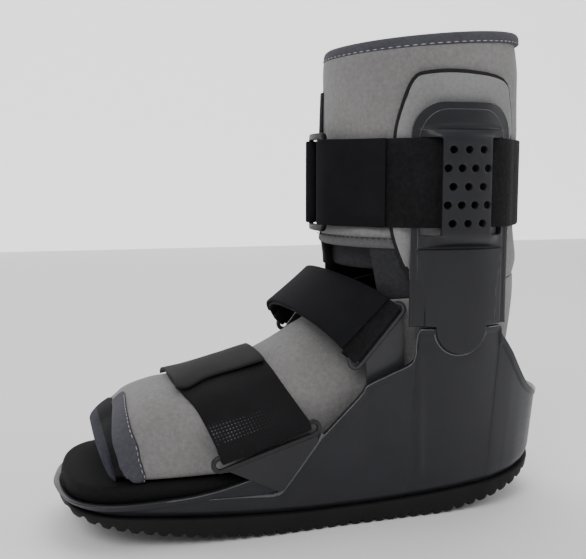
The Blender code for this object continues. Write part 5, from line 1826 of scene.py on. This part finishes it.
def ringPlate(bm, outline, y):
    # flat plate with rounded corners and edges
    rounded = []
    for i, point in enumerate(outline):
        toBefore = outline[i - 1] - point
        toAfter = outline[(i + 1) % len(outline)] - point
        r = min(ring["corner"], toBefore.length * 0.3, toAfter.length * 0.3)
        start = point + toBefore.normalized() * r
        end = point + toAfter.normalized() * r
        rounded += [start * (1 - t) ** 2 + point * 2 * t * (1 - t) + end * t ** 2
                    for t in (0, 0.25, 0.5, 0.75, 1)]
    face = bm.faces.new([bm.verts.new((p.x, y - ring["plate"] / 2, p.z)) for p in rounded])
    plate = set(pushOut(bm, face, ring["plate"])) | set(face.verts)
    edges = [edge for edge in bm.edges if edge.verts[0] in plate and len(edge.link_faces) == 2
             and edge.calc_face_angle(0) > radians(60)]
    bmesh.ops.bevel(bm, geom=edges, offset=ring["edgeRound"], segments=3, profile=0.5, affect="EDGES",
                    clamp_overlap=True)


def buildRing(name, loops, corners, y, node, look, lean=0.0):
    # a stadium of moulded wire over a thin plate
    a, b, along, up = ringLines(loops)
    radius = (ring["slot"] + ring["wire"]) / 2
    path = wrapBar(b, along, up, radius, range(-90, 91, 15))
    path += wrapBar(a, along, up, radius, range(90, 271, 15))
    path = [p + Vector((0, y, 0)) for p in path]
    dense = []
    for p, q in zip(path, path[1:] + path[:1]):
        count = max(1, int((q - p).length / 0.004))
        dense += [p.lerp(q, i / count) for i in range(count)]
    bm = bmesh.new()
    sweepTube(bm, dense, (ring["thick"] / 2, ring["wire"] / 2), closed=True, sides=12,
              normals=[Vector((0, 1, 0))] * len(dense), power=0.85)
    top = along * 0.001 - up * (ring["slot"] + ring["wire"]) / 2
    ringPlate(bm, [b + top, a + top] + [Vector((x, 0, z)) for x, z in corners], y)
    lowZ = min(z for x, z in corners)
    for vert in bm.verts:
        vert.co.y += (lean if y > 0 else -lean) * (vert.co.z - lowZ)
    return makePiece(name, bm, [looks[look]], (node,), weld=0, crease=40)


def turnRoundBar(bar, out, down, radius, leg, start=0):
    points = wrapBar(bar, out, down, radius, range(start, 181, 18))
    return points + [points[-1] - down * leg * 0.5, points[-1] - down * leg]


def fillSlot(bm, a, b, side):
    # the webbing's fold stuffs the ring's slot
    path = [a.lerp(b, t) + (b - a).normalized() * 0.0008 for t in np.linspace(0, 1, 9)]
    sweepTube(bm, path, (0.0011, ring["slot"] * 0.46), sides=10, normals=[Vector((0, side, 0))] * len(path),
              power=0.7)


def rowLengths(rows):
    middle = len(rows[0]) // 2
    return [0.0] + list(np.cumsum([(b[middle] - a[middle]).length for a, b in zip(rows, rows[1:])]))


toeBand = {
    "top": (4.50, 6.80),       # rows of the foot table that its edges follow on top
    "side": (4.92, 6.92),      # and down the sides
    "turn": 60,
    "meshDark": (0.0025, 0.0025, 0.0032),
    "meshLight": (0.0085, 0.0085, 0.0100),
    "dotColour": (0.085, 0.085, 0.090),
}


def buildToeStrap():
    y = boot["halfWidth"] + boot["gap"] + 0.0013
    near = buildRing("toe_loop_near", ring["toeLoops"], ring["toeCorners"], -y, "toe_ring_left", "ring")
    mirroredPiece(near, "toe_loop_far", ("toe_ring_right",))
    a, b, along, up = ringLines(ring["toeLoops"])
    a.y = b.y = -y
    barUp = up * (ring["slot"] + ring["wire"]) / 2
    radius = hypot(ring["thick"], ring["wire"]) / 2 + boot["gap"] + strapHalf
    out = boot["gap"] - foot["dent"] + strapHalf
    margin = ((b - a).length - ring["toeWidth"]) / 2
    rails = []
    for share in np.linspace(0, 1, 13):
        uTop, uSide = (start + share * (end - start) for start, end in (toeBand["top"], toeBand["side"]))
        bar = a + along * (margin + share * ring["toeWidth"]) + barUp
        side = turnRoundBar(bar, Vector((0, -1, 0)), -up, radius, 0.003, -36)
        over = []
        for turn in np.linspace(-toeBand["turn"], toeBand["turn"], 31):
            u = uTop + (uSide - uTop) * (turn / toeBand["turn"]) ** 2
            over.append(footPoint(footSectionAt(u), turn, out))
        between = [over[-1].lerp(side[0], t) for t in (0.33, 0.67)]
        rails.append(farSide(side) + relax(farSide(between) + over + between, 6) + side)
    rows = [list(row) for row in zip(*rails)]
    barAt = rowLengths(rows)[-10]
    material = meshWebbing("toeMesh", toeBand["meshDark"], toeBand["meshLight"], toeBand["dotColour"], barAt)
    makePiece("toe_webbing", strapMesh(rows, strap["thickness"]), [material], ("toe_strap",),
              crease=60)
    buildToeStrapEnd(out)


cover = {
    "span": (4.45, 6.8),       # rows of the foot table
    "edgeAt": (0.0, 0.15, 0.4, 1.0),
    "edgeTurn": (27.0, 28.0, 21.0, 24.0),
    "farTurn": -50,
    "curl": 0.0010,
    "stitches": 0.955,
}


def buildToeStrapEnd(under):
    # smooth free end laid over the mesh, its front edge curled up
    lift = under + strap["thickness"] + 2 * boot["gap"]
    edge = smoothRows(list(zip(cover["edgeAt"], cover["edgeTurn"])), 5)
    rows = []
    for share in np.linspace(0, 1, 21):
        section = footSectionAt(cover["span"][0] + share * (cover["span"][1] - cover["span"][0]))
        row = []
        for turn in np.linspace(cover["farTurn"], float(np.interp(share, edge[:, 0], edge[:, 1])), 25):
            curl = cover["curl"] * ease(0.10, 0.0, share) * ease(-6, 12, turn)
            ripple = 0.0003 * sin(turn * 0.11 + share * 5)
            row.append(footPoint(section, turn, lift + curl + ripple))
        rows.append(row)
    makePiece("toe_strap_cover", strapMesh(rows, strap["thickness"]), [looks["strapEnd"]],
              ("toe_strap_end",), crease=60)
    bm = bmesh.new()
    edgeStitches(bm, list(zip(*rows)), cover["stitches"], -1)
    makePiece("toe_cover_stitches", bm, [looks["threadDark"]])


def buildAnkleRings():
    # builds both rings; gives for each its slot's ends, its direction, up along it and its side
    lowZ = min(z for x, z in ring["ankleCorners"])
    midX = (ring["ankleCorners"][1][0] + ring["ankleCorners"][2][0]) / 2
    y = wallAt(stations, midX, lowZ) - shell["wall"] - 4 * boot["gap"] - ring["thick"] / 2
    topX, topZ = ring["ankleLoops"][1]
    across = (topX - boot["calfX"]) / boot["linerRadius"]
    linerY = boot["linerRadius"] * (1 - across * across) ** 0.5
    lean = (linerY + 11 * boot["gap"] + ring["thick"] / 2 - y) / (topZ - lowZ)
    rings = []
    for name, node, (shiftX, shiftZ), side in (("ankle_loop_near", "ankle_ring_left", (0.0, 0.0), -1),
                                               ("ankle_loop_far", "ankle_ring_right", ring["farShift"], 1)):
        loops = [(x + shiftX, z + shiftZ) for x, z in ring["ankleLoops"]]
        corners = [(x + shiftX, z + shiftZ) for x, z in ring["ankleCorners"]]
        buildRing(name, loops, corners, y * side, node, "ringPale", lean)
        a, b = ringLines(loops)[:2]
        for centre in (a, b):
            centre.y = side * (y + lean * (centre.z - lowZ - shiftZ))
        along = (b - a).normalized()
        up = Vector((0, 1, 0)).cross(along)
        up = (-up if up.z < 0 else up) + Vector((0, side * lean, 0))
        rings.append((a, b, along, up.normalized(), side))
    return rings


def liftedRows(rows, height):
    # rows raised off the surface that they lie in
    out = []
    for i, row in enumerate(rows):
        after, before = beside(rows, i)
        line = []
        for k, point in enumerate(row):
            right, left = beside(row, k)
            normal = (right - left).cross(after[k] - before[k]).normalized()
            line.append(point + (-normal if normal.z < 0 else normal) * height)
        out.append(line)
    return out


def buildAnkleStrap():
    sides = buildAnkleRings()
    radius = hypot(ring["thick"], ring["wire"]) / 2 + boot["gap"] + strapHalf
    rails = []
    covers = []
    for share in np.linspace(0, 1, 11):
        ends = []
        for a, b, along, up, side in sides:
            margin = ((b - a).length - ring["ankleWidth"]) / 2
            bar = a + along * (margin + share * ring["ankleWidth"]) + up * (ring["slot"] + ring["wire"]) / 2
            out = up.cross(along).normalized()
            out = out if out.y * side > 0 else -out
            ends.append(turnRoundBar(bar, out, -up, radius, 0.005))
        near, far = ends
        middle = (near[0] + far[0]) / 2
        half = (far[0] - near[0]) / 2
        lean, high = (first + share * (last - first) for first, last in (ring["ankleLean"], ring["ankleRise"]))
        rise = Vector((-sin(radians(lean)), 0, cos(radians(lean)))) * high
        arch = [middle - half * cos(t) + rise * sin(t) ** 0.8 for t in np.arange(1, 36) * pi / 36]
        rails.append(near[::-1] + arch + far)
        covers.append(arch[2:33])
    bm = strapMesh([list(row) for row in zip(*rails)], strap["thickness"])
    for a, b, along, up, side in sides:
        fillSlot(bm, a, b, side)
    makePiece("ankle_webbing", bm, [looks["loops"]], ("ankle_strap",), crease=60)
    lifted = liftedRows([list(row) for row in zip(*covers)], strap["thickness"] + 2 * boot["gap"])
    makePiece("ankle_strap_cover", strapMesh(lifted, strap["thickness"]), [looks["strap"]],
              ("ankle_strap_end",), crease=60)


buildToeStrap()
buildAnkleStrap()
print("toe and ankle straps built")


# floor, light and camera

studio = {
    "floor": 0.94,
    "world": 0.46,
    "backdrop": 1.0,           # glow of the paper behind the boot
    "camera": (-0.160, -0.522, 0.204),
    "tilt": 83.2,
    "turn": -16.1,
    "lens": 55.29,
    "target": (0, 0, 0.12),
    "lights": (                # name, place, size, watts
        ("key", (-0.9, -1.3, 1.5), (1.2, 1.0), 17),
        ("top", (0.2, 0.3, 1.9), (1.4, 1.4), 10),
        ("side", (1.5, -0.6, 0.8), (0.8, 1.2), 7),
    ),
}


def addLight(name, place, size, power):
    data = bpy.data.lights.new(name, "AREA")
    data.shape = "RECTANGLE"
    data.size, data.size_y = size
    data.energy = power
    light = bpy.data.objects.new(name, data)
    light.location = place
    light.rotation_euler = (Vector(studio["target"]) - Vector(place)).to_track_quat("-Z", "Y").to_euler()
    bpy.context.scene.collection.objects.link(light)


def paperPiece(name, materialName, bm, values):
    material, _, shader = startMaterial(materialName)
    setSockets(shader, {"Base Color": (studio["floor"],) * 3 + (1,), **values})
    return makePiece(name, bm, [material], weld=0, rides=False)


def buildStudio():
    bm = bmesh.new()
    bmesh.ops.create_grid(bm, x_segments=1, y_segments=1, size=6)
    floor = paperPiece("floor", "paleFloor", bm, {"Roughness": 0.9, "Specular IOR Level": 0.1})
    bm = bmesh.new()
    bmesh.ops.create_grid(bm, x_segments=1, y_segments=1, size=2)
    for vert in bm.verts:
        vert.co = Vector((vert.co.x * 1.6, 1.9, vert.co.y + 1.9))
    glow = {"Emission Color": (1, 1, 1, 1), "Emission Strength": studio["backdrop"]}
    paperPiece("backdrop", "paperGlow", bm, glow)
    world = bpy.data.worlds.new("studioWhite")
    world.use_nodes = True
    setSockets(world.node_tree.nodes["Background"], {"Color": (1, 1, 1, 1), "Strength": studio["world"]})
    bpy.context.scene.world = world
    for light in studio["lights"]:
        addLight(*light)
    data = bpy.data.cameras.new("camera")
    data.lens = studio["lens"]
    data.clip_start = 0.01
    camera = bpy.data.objects.new("camera", data)
    camera.location = studio["camera"]
    camera.rotation_euler = (radians(studio["tilt"]), 0, radians(studio["turn"]))
    bpy.context.scene.collection.objects.link(camera)
    bpy.context.scene.camera = camera


buildStudio()

print("boot dressed")
